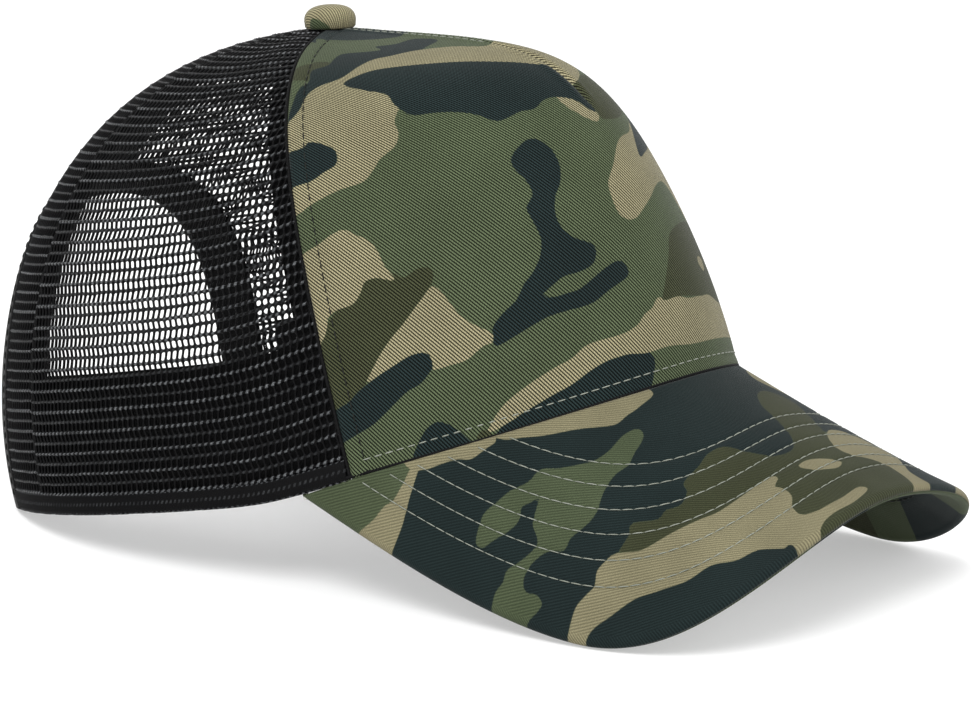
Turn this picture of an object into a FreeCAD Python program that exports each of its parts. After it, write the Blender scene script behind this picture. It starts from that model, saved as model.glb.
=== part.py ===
import FreeCAD, Part
import math
import os

# A five-panel trucker cap: a structured twill front, mesh sides and back, a
# curved brim, and a snap closure of two plastic straps under the rear arch.
# Units are millimetres. +Z is up and the brim points towards -Y, so the
# wearer's right is -X. The cap is posed as it rests on a table, on the rear
# rim and on the two low edges of the brim.

os.makedirs("parts", exist_ok=True)

Vector = FreeCAD.Vector
ORIGIN = Vector(0, 0, 0)
UP = Vector(0, 0, 1)

# ---- crown: plan and profiles ----
FRONT_REACH = 113.7       # centre plane to the front of the rim
BACK_REACH = 101.8        # centre plane to the back of the rim
HALF_WIDTH = 72.5         # half of the rim's width
CROWN_HEIGHT = 112.6      # rim plane to the top of the crown
APEX_Y = -13.4            # where the panels meet, under the button
PLAN_POWER = 2.1          # superellipse power of the rim
FRONT_TOP_POWER = 1.54    # power that the front's plan reaches at the top
REST_TILT = 10.8          # degrees that the front is raised when at rest
# Each profile runs from the rim (1, 0) to the apex (0, 1) on these controls:
# reach as a share of the rim's, and height as a share of the crown's.
FRONT_CONTROLS = ((0.985, 0.492), (0.739, 0.955), (0.746, 0.860))
SIDE_CONTROLS = ((0.970, 0.368), (0.893, 0.820), (0.398, 0.986))
BACK_CONTROLS = ((1.070, 0.328), (0.862, 0.906), (0.445, 1.035))

# ---- crown: panels, seams and layers ----
FRONT_SEAM = (50.5, 63.4)     # front seam's angle from the front: rim, apex
REAR_SEAM = (129.9, 139.6)    # side-to-back seam's angle: rim, apex
PANEL_TOP = 0.98              # the panels end here, under the button
SEAM_GAP = 0.15               # degrees between neighbouring panels
TWILL = 0.7
STIFFENER = 0.8
MESH = 1.2
LAYER_GAP = 0.1
TAPE_WIDTH = 12.0
TAPE_DEPTH = (1.7, 2.25)
TAPE_FAN = 18.0               # most degrees each side of a tape at the top
TAPE_TOP = 0.955
SWEATBAND_HEIGHT = 34.0
SWEATBAND_LIFT = 1.5
SWEATBAND_DEPTH = (2.35, 3.45)

# ---- rear arch and its binding ----
ARCH_HALF_WIDTH = 44.4
ARCH_HEIGHT = 78.4
ARCH_POWER = 2.6
BINDING_WIDTH = 7.5
BINDING_DEPTH = (-0.4, 1.6)

# ---- brim ----
BRIM_LENGTH = 57.8        # rim to front edge along the centre line
BRIM_HALF_SPAN = 91.0     # half of the brim's width along its curve
BRIM_CORNER = 86.6        # how far behind the rim's front its corners are
BRIM_POWER = 2.94
BRIM_SLOPE = 32.1         # degrees
BRIM_RADIUS = 71.6        # curve across the brim
BRIM_LIFT = 15.0          # its root above the rim plane, at the centre
BRIM_FLATTEN = 0.356      # how much the curve opens towards the front edge
BRIM_FLATTEN_LENGTH = 60.0
BRIM_ROOT_ANGLE = 59.3    # its root runs this far round the rim, in degrees
ROOT_GAP = 0.15
COVER = 0.65
BOARD = 1.4
BOARD_INSET = 1.2
RIM_FADE = (63.0, 85.0)   # degrees over which the rim leaves the brim
RIM_BLEND = 2.0           # how softly it does so

# ---- button ----
BUTTON_RADIUS = 6.6
BUTTON_HEIGHT = 5.4
BUTTON_COVER = 0.6
BUTTON_SEAT = 0.45
RIVET_RADIUS = 1.2
WASHER_RADIUS = 8.0
WASHER_DEPTH = 3.9
WASHER_THICKNESS = 0.8

# ---- snap closure ----
STRAP_RADIUS = 65.0
STRAP_THICKNESS = 1.1
STRAP_LOW = 4.5
STRAP_HEIGHT = 18.0
STRAP_GAP = 0.1
HINGE_X = 41.0
HINGE_DEPTH = 2.8
TAB_LENGTH = 13.0
TAB_CLEARANCE = 0.9
PEG_PITCH = 8.6
PEG_RADIUS = 1.85
PEG_HEAD = 0.7
FIRST_HOLE = -17.0        # along the strap from the centre plane
HOLE_COUNT = 7
FIRST_PEG = -34.2
PEG_COUNT = 7
HOLE_HALF_LENGTH = 3.05
HOLE_HALF_HEIGHT = 2.4
TAIL_MARGIN = 4.6         # plastic past the last hole or peg
TAIL_ROUND = 6.0


def lerp(a, b, share):
    return a + (b - a) * share


def weights(theta):
    """How much of the front, side and back profile is used at an angle."""
    front = max(math.cos(theta), 0.0) ** 2
    back = max(-math.cos(theta), 0.0) ** 2
    return front, 1.0 - front - back, back


def profile(theta, s):
    """Reach and height shares at s, from 0 at the rim to 1 at the apex."""
    share = weights(theta)
    controls = [(1.0, 0.0)]
    for front, side, back in zip(FRONT_CONTROLS, SIDE_CONTROLS, BACK_CONTROLS):
        mixed = [front[k] * share[0] + side[k] * share[1] + back[k] * share[2] for k in (0, 1)]
        controls.append(mixed)
    controls.append((0.0, 1.0))
    reach = height = 0.0
    for k, point in enumerate(controls):
        part = math.comb(4, k) * s ** k * (1.0 - s) ** (4 - k)
        reach += part * point[0]
        height += part * point[1]
    return reach, height


def plan(theta, s=0.0):
    """A point of the crown's plan, before the profile draws it in."""
    front = max(math.cos(theta), 0.0) ** 2
    front_power = lerp(PLAN_POWER, FRONT_TOP_POWER, s)
    power = lerp(PLAN_POWER, front_power, front * (2.0 - front))
    reach = FRONT_REACH if math.cos(theta) > 0 else BACK_REACH
    along = abs(math.cos(theta) / reach) ** power
    across = abs(math.sin(theta) / HALF_WIDTH) ** power
    radius = (along + across) ** (-1.0 / power)
    return -radius * math.sin(theta), -radius * math.cos(theta)


def crown_point(theta, s):
    x, y = plan(theta, s)
    reach, height = profile(theta, s)
    return Vector(x * reach, lerp(APEX_Y, y, reach), CROWN_HEIGHT * height)


def brim_height(x, y):
    """Height of the brim's sheet over a point of the rim plane."""
    slope = math.radians(BRIM_SLOPE)
    drop = BRIM_RADIUS - math.sqrt(max(BRIM_RADIUS ** 2 - x ** 2, 0.0))
    return BRIM_LIFT + math.tan(slope) * (y + FRONT_REACH) - drop / math.cos(slope)


def rim_height(theta):
    """The rim rises over the brim at the front and is level behind it."""
    over = brim_height(*plan(theta))
    from_front = math.degrees(math.acos(math.cos(theta)))
    start, end = RIM_FADE
    fade = min(max((end - from_front) / (end - start), 0.0), 1.0)
    fade = fade * fade * (3.0 - 2.0 * fade)
    return 0.5 * (over + math.sqrt(over * over + RIM_BLEND ** 2)) * fade


def height_to_s(theta, height):
    """The profile's s at a height above the rim plane."""
    low, high = 0.0, 0.7
    for _ in range(36):
        middle = 0.5 * (low + high)
        if CROWN_HEIGHT * profile(theta, middle)[1] < height:
            low = middle
        else:
            high = middle
    return low


def crown(theta, t):
    """A point of the outer surface: t is 0 at the rim's edge, 1 at the apex."""
    start = height_to_s(theta, rim_height(theta))
    return crown_point(theta, lerp(start, 1.0, t))


def sunk(surface, a, b, depth, step=1e-4):
    """A surface's point moved along its inward normal."""
    along = surface(a + step, b) - surface(a - step, b)
    up = surface(a, b + step) - surface(a, b - step)
    inward = along.cross(up).normalize()
    return surface(a, b) + inward * depth


def at_height(theta, height):
    """Outer surface at a height above the rim plane."""
    return crown_point(theta, height_to_s(theta, height))


def slab(place, columns, rows, outer, inner):
    """A closed solid between two depths of a surface given by place()."""
    faces = []
    for depth in (outer, inner):
        grid = [
            [place(i / columns, j / rows, depth) for j in range(rows + 1)]
            for i in range(columns + 1)
        ]
        surface = Part.BSplineSurface()
        surface.interpolate(grid)
        faces.append(surface)
    outside, inside = faces
    u0, u1, v0, v1 = outside.bounds()
    skins = [outside.toShape(), inside.toShape()]
    for u in (u0, u1):
        skins.append(Part.makeRuledSurface(outside.uIso(u).toShape(), inside.uIso(u).toShape()))
    for v in (v0, v1):
        skins.append(Part.makeRuledSurface(outside.vIso(v).toShape(), inside.vIso(v).toShape()))
    sewn = Part.makeCompound(skins)
    sewn.sewShape()
    solid = Part.makeSolid(sewn.Shells[0] if sewn.Shells else sewn)
    if solid.Volume < 0:
        solid.reverse()
    return solid


def panel(left, right, low, high, outer, inner, columns=24, rows=24):
    """A piece of the crown between two seams, each an angle that varies with t."""
    def place(across, up, depth):
        t = lerp(low, high, up)
        return sunk(crown, lerp(left(t), right(t), across), t, depth)
    return slab(place, columns, rows, outer, inner)


def seam(angles, gap=0.0):
    """A seam's angle at t, in radians, moved sideways by gap degrees."""
    return lambda t: math.radians(lerp(angles[0], angles[1], t) + gap)


def mirrored(shape):
    return shape.mirror(ORIGIN, Vector(1, 0, 0))


def main_solid(shape):
    """The largest solid that a cut leaves."""
    return max(shape.Solids, key=lambda solid: solid.Volume)


def evenly(points, count):
    """count + 1 points, equally spaced along a fine polyline."""
    lengths = [0.0]
    for before, after in zip(points, points[1:]):
        lengths.append(lengths[-1] + (after - before).Length)
    spaced = []
    k = 0
    for i in range(count + 1):
        wanted = lengths[-1] * i / count
        while k < len(points) - 2 and lengths[k + 1] < wanted:
            k += 1
        share = (wanted - lengths[k]) / max(lengths[k + 1] - lengths[k], 1e-9)
        spaced.append(points[k] + (points[k + 1] - points[k]) * share)
    return spaced


# ---- rear arch ----

def arch_prism(grow):
    """The space behind the arch's outline, run through the back of the crown."""
    fine = []
    for i in range(401):
        angle = math.pi * (i / 400.0 - 0.5)
        side = math.copysign(abs(math.sin(angle)) ** (2.0 / ARCH_POWER), angle)
        rise = max(math.cos(angle), 0.0) ** (2.0 / ARCH_POWER)
        x = (ARCH_HALF_WIDTH + grow) * side
        fine.append(Vector(x, 30.0, (ARCH_HEIGHT + grow) * rise))
    points = evenly(fine, 40)
    curve = Part.BSplineCurve()
    curve.interpolate(points)
    first, last = points[0], points[-1]
    below = [Vector(last.x, 30.0, -20.0), Vector(first.x, 30.0, -20.0)]
    edges = [curve.toShape(), Part.makeLine(last, below[0])]
    edges += [Part.makeLine(below[0], below[1]), Part.makeLine(below[1], first)]
    return Part.Face(Part.Wire(edges)).extrude(Vector(0, 100.0, 0))


def arch_binding():
    left = seam((140.0, 140.0))
    right = seam((220.0, 220.0))
    outer, inner = BINDING_DEPTH
    strip = panel(left, right, 0.0, 0.88, outer, inner, 32, 24)
    ring = strip.common(arch_prism(BINDING_WIDTH)).cut(arch_prism(0.0))
    return main_solid(ring)


# ---- crown pieces ----

def crown_pieces():
    opening = arch_prism(BINDING_WIDTH + 0.12)
    front = seam(FRONT_SEAM, -SEAM_GAP)
    front_left = lambda t: -front(t)
    side_front = seam(FRONT_SEAM, SEAM_GAP)
    side_rear = seam(REAR_SEAM, -SEAM_GAP)
    back_front = seam(REAR_SEAM, SEAM_GAP)
    back_middle = seam((180.0, 180.0), -SEAM_GAP)
    pieces = {}
    pieces["front_panel"] = panel(front_left, front, 0.0, PANEL_TOP, 0.0, TWILL, 44, 30)
    stiffener_low = TWILL + LAYER_GAP
    pieces["front_stiffener"] = panel(
        lambda t: front_left(t) * 0.985, lambda t: front(t) * 0.985, 0.01, 0.95,
        stiffener_low, stiffener_low + STIFFENER, 44, 30)
    side = panel(side_front, side_rear, 0.0, PANEL_TOP, 0.0, MESH, 30, 26)
    back = panel(back_front, back_middle, 0.0, PANEL_TOP, 0.0, MESH, 24, 26)
    back = main_solid(back.cut(opening))
    pieces["side_mesh_right"] = side
    pieces["side_mesh_left"] = mirrored(side)
    pieces["back_mesh_right"] = back
    pieces["back_mesh_left"] = mirrored(back)
    pieces["arch_binding"] = arch_binding()
    return pieces


def tape(middle):
    """A seam tape on the inside, centred on a seam and narrowed at the top."""
    def edge(sign):
        def angle(t):
            centre = middle(t)
            step = 1e-3
            per_radian = (crown(centre + step, t) - crown(centre - step, t)).Length / (2 * step)
            half = min(0.5 * TAPE_WIDTH / per_radian, math.radians(TAPE_FAN))
            return centre + sign * half
        return angle
    outer, inner = TAPE_DEPTH
    return panel(edge(-1), edge(1), 0.0, TAPE_TOP, outer, inner, 6, 26)


def tapes():
    front = tape(seam(FRONT_SEAM))
    rear = tape(seam(REAR_SEAM))
    opening = arch_prism(BINDING_WIDTH + 0.12)
    back = main_solid(tape(seam((180.0, 180.0))).cut(opening))
    return {
        "front_tape_right": front,
        "front_tape_left": mirrored(front),
        "rear_tape_right": rear,
        "rear_tape_left": mirrored(rear),
        "back_tape": back,
    }


def sweatband(end_theta):
    """A strip inside the rim, from one closure tab round the front to the other."""
    def place(across, up, depth):
        theta = lerp(-end_theta, end_theta, across)
        height = rim_height(theta) + SWEATBAND_LIFT + SWEATBAND_HEIGHT * up
        return sunk(at_height, theta, height, depth, 1e-2)
    outer, inner = SWEATBAND_DEPTH
    return slab(place, 72, 8, outer, inner)


# ---- brim ----

def brim_sheet(u, v):
    """The brim's top surface: u across it along the curve, v forwards."""
    slope = math.radians(BRIM_SLOPE)
    x = BRIM_RADIUS * math.sin(u / BRIM_RADIUS)
    drop = BRIM_RADIUS * (1.0 - math.cos(u / BRIM_RADIUS)) / math.cos(slope)
    opened = BRIM_FLATTEN * min(max(v / BRIM_FLATTEN_LENGTH, 0.0), 2.0) ** 2
    y = -FRONT_REACH - v * math.cos(slope)
    z = BRIM_LIFT - v * math.sin(slope) - drop * (1.0 - opened)
    return Vector(x, y, z)


def brim_front_edge(inset, count):
    """The free edge of the brim in the sheet, from one corner to the other."""
    fine = []
    for i in range(801):
        angle = math.pi * (i / 800.0 - 0.5)
        side = math.copysign(abs(math.sin(angle)) ** (2.0 / BRIM_POWER), angle)
        rise = max(math.cos(angle), 0.0) ** (2.0 / BRIM_POWER)
        u = (BRIM_HALF_SPAN - inset) * side
        v = -BRIM_CORNER + (BRIM_LENGTH + BRIM_CORNER - inset) * rise
        fine.append(Vector(u, v, 0))
    return evenly(fine, count)


def brim_root(count):
    """The edge that meets the rim, in the sheet."""
    slope = math.radians(BRIM_SLOPE)
    fine = []
    for i in range(401):
        theta = math.radians(lerp(BRIM_ROOT_ANGLE, -BRIM_ROOT_ANGLE, i / 400.0))
        x, y = plan(theta)
        out = 1.0 + ROOT_GAP / math.hypot(x, y)
        u = BRIM_RADIUS * math.asin(x * out / BRIM_RADIUS)
        fine.append(Vector(u, -(y * out + FRONT_REACH) / math.cos(slope), 0))
    return evenly(fine, count)


def brim_layer(outer, inner, inset):
    columns = 60
    front = brim_front_edge(inset, columns)
    root = brim_root(columns)

    def place(across, out, depth):
        i = round(across * columns)
        spot = root[i] + (front[i] - root[i]) * out
        return sunk(brim_sheet, spot.x, spot.y, depth, 1e-3)
    return slab(place, columns, 12, outer, inner)


def brim_pieces():
    board_low = COVER + LAYER_GAP
    under_low = board_low + BOARD + LAYER_GAP
    return {
        "brim_top_cover": brim_layer(0.0, COVER, 0.0),
        "brim_board": brim_layer(board_low, board_low + BOARD, BOARD_INSET),
        "brim_under_cover": brim_layer(under_low, under_low + COVER, 0.0),
    }


# ---- button ----

def dome(radius, height):
    """A button's dome on the XY plane: a short straight side, then a crown."""
    side = Vector(radius, 0, 0.25 * height)
    top = Vector(0, 0, height)
    crest = Part.BezierCurve()
    crest.setPoles([side, Vector(radius, 0, 0.8 * height), Vector(0.6 * radius, 0, height), top])
    edges = [
        Part.makeLine(ORIGIN, Vector(radius, 0, 0)),
        Part.makeLine(Vector(radius, 0, 0), side),
        crest.toShape(),
        Part.makeLine(top, ORIGIN),
    ]
    return Part.Face(Part.Wire(edges)).revolve(ORIGIN, UP, 360)


def button_pieces():
    core = dome(BUTTON_RADIUS - BUTTON_COVER, BUTTON_HEIGHT - BUTTON_COVER)
    cover = dome(BUTTON_RADIUS, BUTTON_HEIGHT).cut(core)
    washer_top = -WASHER_DEPTH - BUTTON_SEAT
    washer_low = washer_top - WASHER_THICKNESS
    base = Vector(0, 0, washer_low)
    washer = Part.makeCylinder(WASHER_RADIUS, WASHER_THICKNESS, base)
    washer = washer.cut(Part.makeCylinder(RIVET_RADIUS + 0.05, 10.0, Vector(0, 0, -10)))
    post = Part.makeCylinder(RIVET_RADIUS, -washer_low, base)
    clinch = Part.makeCylinder(2.0 * RIVET_RADIUS, 0.6, Vector(0, 0, washer_low - 0.6))
    pieces = {
        "button_cover": cover,
        "button_core": core,
        "button_rivet": post.fuse(clinch).removeSplitter(),
        "button_washer": washer,
    }
    front = (1.0 - FRONT_CONTROLS[2][1]) / (FRONT_CONTROLS[2][0] * (FRONT_REACH + APEX_Y))
    back = (BACK_CONTROLS[2][1] - 1.0) / (BACK_CONTROLS[2][0] * (BACK_REACH - APEX_Y))
    lean = 0.5 * (math.atan(CROWN_HEIGHT * front) + math.atan(CROWN_HEIGHT * back))
    for name in pieces:
        shape = main_solid(pieces[name])
        shape.translate(Vector(0, 0, BUTTON_SEAT))
        shape.rotate(ORIGIN, Vector(1, 0, 0), math.degrees(lean))
        shape.translate(Vector(0, APEX_Y, CROWN_HEIGHT))
        pieces[name] = shape
    return pieces


# ---- snap closure ----

def inside_crown(theta, depth):
    return sunk(at_height, theta, STRAP_LOW, depth, 1e-2)


def hinge_theta(depth):
    """The angle on the wearer's right where a layer inside the crown meets the flex line."""
    low, high = math.radians(100.0), math.pi
    for _ in range(40):
        middle = 0.5 * (low + high)
        if inside_crown(middle, depth).x < -HINGE_X:
            low = middle
        else:
            high = middle
    return low


def hinge_y():
    """Where the outer strap leaves the crown, just inside the arch."""
    return inside_crown(hinge_theta(HINGE_DEPTH), HINGE_DEPTH).y


def strap_centre():
    return hinge_y() - math.sqrt(STRAP_RADIUS ** 2 - HINGE_X ** 2)


def strap_hinge(side, radius):
    """The flex line of a strap: side is 1 on the wearer's left, -1 on the right."""
    return Vector(side * HINGE_X, strap_centre() + math.sqrt(radius ** 2 - HINGE_X ** 2), 0)


def radial(shape, along):
    """Turn a shape from the centre plane to a place along the closure."""
    centre = Vector(0, strap_centre(), 0)
    shape.rotate(centre, UP, -math.degrees(along / STRAP_RADIUS))
    return shape


def strap_tail(side, radius, past):
    """The free part of a strap, from its flex line to its rounded tail.

    The tail ends a distance past the centre plane, on the strap's far side.
    """
    half = 0.5 * STRAP_THICKNESS
    centre = Vector(0, strap_centre(), STRAP_LOW)
    hinge_angle = math.asin(HINGE_X / radius)
    past_angle = past / STRAP_RADIUS

    def at(angle, reach):
        return centre + Vector(math.sin(angle), math.cos(angle), 0) * reach
    middle = 0.5 * (hinge_angle - past_angle)
    knuckle = at(hinge_angle, radius) + Vector(math.cos(hinge_angle), -math.sin(hinge_angle), 0) * half
    outline = [
        Part.Arc(at(hinge_angle, radius + half), at(middle, radius + half), at(-past_angle, radius + half)),
        Part.LineSegment(at(-past_angle, radius + half), at(-past_angle, radius - half)),
        Part.Arc(at(-past_angle, radius - half), at(middle, radius - half), at(hinge_angle, radius - half)),
        Part.Arc(at(hinge_angle, radius - half), knuckle, at(hinge_angle, radius + half)),
    ]
    wire = Part.Wire([piece.toShape() for piece in outline])
    band = Part.Face(wire).extrude(Vector(0, 0, STRAP_HEIGHT))
    for low in (True, False):
        corner = strap_corner(radius, low)
        corner.rotate(centre, UP, math.degrees(past_angle))
        band = band.cut(corner)
    return band if side > 0 else mirrored(band)


def strap_corner(radius, low):
    """What is cut away to round one corner of a tail that ends on the centre plane."""
    edge = STRAP_LOW if low else STRAP_LOW + STRAP_HEIGHT
    inside = edge + (TAIL_ROUND if low else -TAIL_ROUND)
    near = strap_centre() + radius - 4.0
    base = Vector(-1.0, near, min(edge - (1.0 if low else 0.0), inside))
    block = Part.makeBox(TAIL_ROUND + 1.0, 8.0, TAIL_ROUND + 1.0, base)
    round_end = Part.makeCylinder(TAIL_ROUND, 8.0, Vector(TAIL_ROUND, near, inside), Vector(0, 1, 0))
    return block.cut(round_end)


def strap_tab(side, radius, depth):
    """The sewn end of a strap, against the inside of the back panel."""
    hinge = strap_hinge(-1, radius)
    start = hinge_theta(depth)
    while True:
        near = inside_crown(start, depth)
        if math.hypot(near.x - hinge.x, near.y - hinge.y) > TAB_CLEARANCE:
            break
        start -= 0.001
    end = start
    while (inside_crown(end, depth) - near).Length < TAB_LENGTH:
        end -= 0.001

    def place(across, up, extra):
        spot = inside_crown(lerp(start, end, across), depth + extra)
        return Vector(spot.x, spot.y, STRAP_LOW + STRAP_HEIGHT * up)
    half = 0.5 * STRAP_THICKNESS
    tab = slab(place, 8, 3, -half, half)
    return (mirrored(tab) if side > 0 else tab), end


def closure_pieces():
    outer_radius = STRAP_RADIUS
    inner_radius = STRAP_RADIUS - STRAP_THICKNESS - STRAP_GAP
    mid_height = STRAP_LOW + 0.5 * STRAP_HEIGHT
    hole_strap = strap_tail(1, outer_radius, TAIL_MARGIN - FIRST_HOLE)
    for k in range(HOLE_COUNT):
        ellipse = Part.Ellipse(ORIGIN, HOLE_HALF_LENGTH, HOLE_HALF_HEIGHT).toShape()
        cutter = Part.Face(Part.Wire(ellipse)).extrude(Vector(0, 0, 8.0))
        cutter.rotate(ORIGIN, Vector(1, 0, 0), -90)
        cutter.translate(Vector(0, strap_centre() + outer_radius - 4.0, mid_height))
        hole_strap = hole_strap.cut(radial(cutter, FIRST_HOLE + PEG_PITCH * k))
    last_peg = FIRST_PEG + PEG_PITCH * (PEG_COUNT - 1)
    peg_strap = strap_tail(-1, inner_radius, last_peg + TAIL_MARGIN)
    peg_length = STRAP_GAP + STRAP_THICKNESS + PEG_HEAD
    root = strap_centre() + inner_radius
    for k in range(PEG_COUNT):
        height = 0.5 * STRAP_THICKNESS + peg_length
        peg = Part.makeCylinder(PEG_RADIUS, height, Vector(0, root, mid_height), Vector(0, 1, 0))
        peg_strap = peg_strap.fuse(radial(peg, FIRST_PEG + PEG_PITCH * k))
    hole_tab, tab_end = strap_tab(1, outer_radius, HINGE_DEPTH)
    peg_tab, _ = strap_tab(-1, inner_radius, HINGE_DEPTH + STRAP_THICKNESS + STRAP_GAP)
    pieces = {
        "hole_strap": main_solid(hole_strap),
        "hole_strap_tab": hole_tab,
        "peg_strap": main_solid(peg_strap.removeSplitter()),
        "peg_strap_tab": peg_tab,
    }
    return pieces, tab_end


def to_rest(shape):
    """Lean the cap back from the rim plane to the way it rests."""
    shape.rotate(ORIGIN, Vector(1, 0, 0), -REST_TILT)
    return shape


def build():
    pieces = crown_pieces()
    pieces.update(tapes())
    closure, tab_end = closure_pieces()
    pieces["sweatband"] = sweatband(tab_end - math.radians(2.0))
    pieces.update(brim_pieces())
    pieces.update(button_pieces())
    pieces.update(closure)
    for shape in pieces.values():
        to_rest(shape)
    return pieces


def place_on_origin(pieces):
    """Move everything so that the box's bottom centre is the origin."""
    box = Part.makeCompound(list(pieces.values())).optimalBoundingBox(False)
    shift = Vector(0, -0.5 * (box.YMin + box.YMax), -box.ZMin)
    for shape in pieces.values():
        shape.translate(shift)
    return shift


def main():
    pieces = build()
    place_on_origin(pieces)
    for name, shape in pieces.items():
        print(name, shape.ShapeType, shape.isValid(), round(shape.Volume, 1))
        shape.exportStep("parts/" + name + ".step")


main()
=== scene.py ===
import math
import bpy
import numpy as np
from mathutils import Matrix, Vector


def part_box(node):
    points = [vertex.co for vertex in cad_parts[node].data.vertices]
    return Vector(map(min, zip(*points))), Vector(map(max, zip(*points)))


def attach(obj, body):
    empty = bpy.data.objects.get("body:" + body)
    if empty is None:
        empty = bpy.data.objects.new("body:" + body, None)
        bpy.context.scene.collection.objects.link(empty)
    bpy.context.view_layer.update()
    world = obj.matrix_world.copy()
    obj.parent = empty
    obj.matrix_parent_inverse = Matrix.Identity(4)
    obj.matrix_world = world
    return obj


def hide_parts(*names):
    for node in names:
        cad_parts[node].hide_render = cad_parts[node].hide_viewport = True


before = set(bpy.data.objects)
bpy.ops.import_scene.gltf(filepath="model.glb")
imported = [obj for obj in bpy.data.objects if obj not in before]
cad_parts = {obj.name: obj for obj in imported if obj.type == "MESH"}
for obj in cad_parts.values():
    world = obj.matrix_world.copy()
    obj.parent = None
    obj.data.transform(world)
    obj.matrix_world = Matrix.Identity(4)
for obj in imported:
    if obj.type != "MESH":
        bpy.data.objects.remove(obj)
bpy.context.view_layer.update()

# The looks of a five-panel trucker cap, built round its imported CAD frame.
# Shapes are worked out in millimetres in the rim's own frame, as the CAD is,
# then leant back to the way the cap rests and turned into metres. The brim
# points towards -Y, the wearer's right is -X, and theta runs round the crown
# from the front towards the wearer's right.

MM = 0.001

# ---- crown, as the CAD has it ----
FRONT_REACH, BACK_REACH, HALF_WIDTH = 113.7, 101.8, 72.5
CROWN_HEIGHT, APEX_Y = 112.6, -13.4
PLAN_POWER, FRONT_TOP_POWER = 2.1, 1.54
REST_TILT = 10.8
CONTROLS = np.array((
    ((0.985, 0.492), (0.739, 0.955), (0.746, 0.860)),
    ((0.970, 0.368), (0.893, 0.820), (0.398, 0.986)),
    ((1.070, 0.328), (0.862, 0.906), (0.445, 1.035)),
))
FRONT_SEAM, REAR_SEAM = (50.5, 63.4), (129.9, 139.6)
PANEL_TOP = 0.98
ARCH_HALF_WIDTH, ARCH_HEIGHT, ARCH_POWER = 44.4, 78.4, 2.6

# ---- brim, as the CAD has it ----
BRIM_LENGTH, BRIM_HALF_SPAN, BRIM_CORNER, BRIM_POWER = 57.8, 91.0, 86.6, 2.94
BRIM_SLOPE, BRIM_RADIUS, BRIM_LIFT = math.radians(32.1), 71.6, 15.0
BRIM_FLATTEN, BRIM_FLATTEN_LENGTH = 0.356, 60.0
BRIM_ROOT_ANGLE, BRIM_THICKNESS = 59.3, 2.9
BOARD_GAP, COVER_GAP = 0.15, 0.05
RIM_FADE, RIM_BLEND = (63.0, 85.0), 2.0

# ---- the net's mesh, and the sewn parts and the button as the CAD has them ----
NET_COLUMN, NET_ROW = 1.9, 2.65
TAPE_WIDTH, TAPE_DEPTH, TAPE_FAN, TAPE_TOP = 12.0, (1.7, 2.25), 18.0, 0.955
SWEATBAND_HEIGHT, SWEATBAND_LIFT, SWEATBAND_DEPTH = 34.0, 1.5, (2.35, 3.45)
SWEATBAND_END = math.radians(142.5)
BINDING_WIDTH = 7.5
BUTTON_RADIUS, BUTTON_HEIGHT, BUTTON_SEAT = 6.6, 5.4, 0.45
FRONT_FALL = CROWN_HEIGHT * (1.0 - CONTROLS[0, 2, 1]) / (CONTROLS[0, 2, 0] * (FRONT_REACH + APEX_Y))
BACK_RISE = CROWN_HEIGHT * (CONTROLS[2, 2, 1] - 1.0) / (CONTROLS[2, 2, 0] * (BACK_REACH - APEX_Y))
BUTTON_LEAN = 0.5 * (math.atan(FRONT_FALL) + math.atan(BACK_RISE))

# ---- the crown's surface ----


def lerp(a, b, share):
    return a + (b - a) * share


def smooth(share):
    share = np.clip(share, 0.0, 1.0)
    return share * share * (3.0 - 2.0 * share)


def profile(theta, s):
    front = np.maximum(np.cos(theta), 0.0) ** 2
    back = np.maximum(-np.cos(theta), 0.0) ** 2
    share = (front, 1.0 - front - back, back)
    rest = 1.0 - s
    weight = (4 * rest ** 3 * s, 6 * rest ** 2 * s ** 2, 4 * rest * s ** 3)
    reach, height = rest ** 4, s ** 4
    for k in range(3):
        reach = reach + weight[k] * sum(share[j] * CONTROLS[j, k, 0] for j in range(3))
        height = height + weight[k] * sum(share[j] * CONTROLS[j, k, 1] for j in range(3))
    return reach, height


def plan(theta, s=0.0):
    front = np.maximum(np.cos(theta), 0.0) ** 2
    power = lerp(PLAN_POWER, lerp(PLAN_POWER, FRONT_TOP_POWER, s), front * (2.0 - front))
    reach = np.where(np.cos(theta) > 0, FRONT_REACH, BACK_REACH)
    along = np.abs(np.cos(theta) / reach) ** power
    across = np.abs(np.sin(theta) / HALF_WIDTH) ** power
    radius = (along + across) ** (-1.0 / power)
    return -radius * np.sin(theta), -radius * np.cos(theta)


def crown_point(theta, s):
    x, y = plan(theta, s)
    reach, height = profile(theta, s)
    return np.stack([x * reach, lerp(APEX_Y, y, reach), CROWN_HEIGHT * height], -1)


def halved(low, high, short, turns=30):
    """The last value for which short holds, between low and high."""
    for _ in range(turns):
        middle = 0.5 * (low + high)
        under = short(middle)
        low, high = np.where(under, middle, low), np.where(under, high, middle)
    return low


def height_to_s(theta, height):
    low, high = np.zeros_like(theta), np.full_like(theta, 0.7)
    return halved(low, high, lambda s: CROWN_HEIGHT * profile(theta, s)[1] < height)


def rim_height(theta):
    x, y = plan(theta)
    drop = BRIM_RADIUS - np.sqrt(np.maximum(BRIM_RADIUS ** 2 - x ** 2, 0.0))
    over = BRIM_LIFT + math.tan(BRIM_SLOPE) * (y + FRONT_REACH) - drop / math.cos(BRIM_SLOPE)
    from_front = np.degrees(np.arccos(np.clip(np.cos(theta), -1.0, 1.0)))
    fade = smooth((RIM_FADE[1] - from_front) / (RIM_FADE[1] - RIM_FADE[0]))
    return 0.5 * (over + np.sqrt(over * over + RIM_BLEND ** 2)) * fade


ROUND = np.linspace(-math.pi, 2.0 * math.pi, 2161)
RIM_START = height_to_s(ROUND, rim_height(ROUND))


def crown(theta, t):
    return crown_point(theta, lerp(np.interp(theta, ROUND, RIM_START), 1.0, t))


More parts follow.
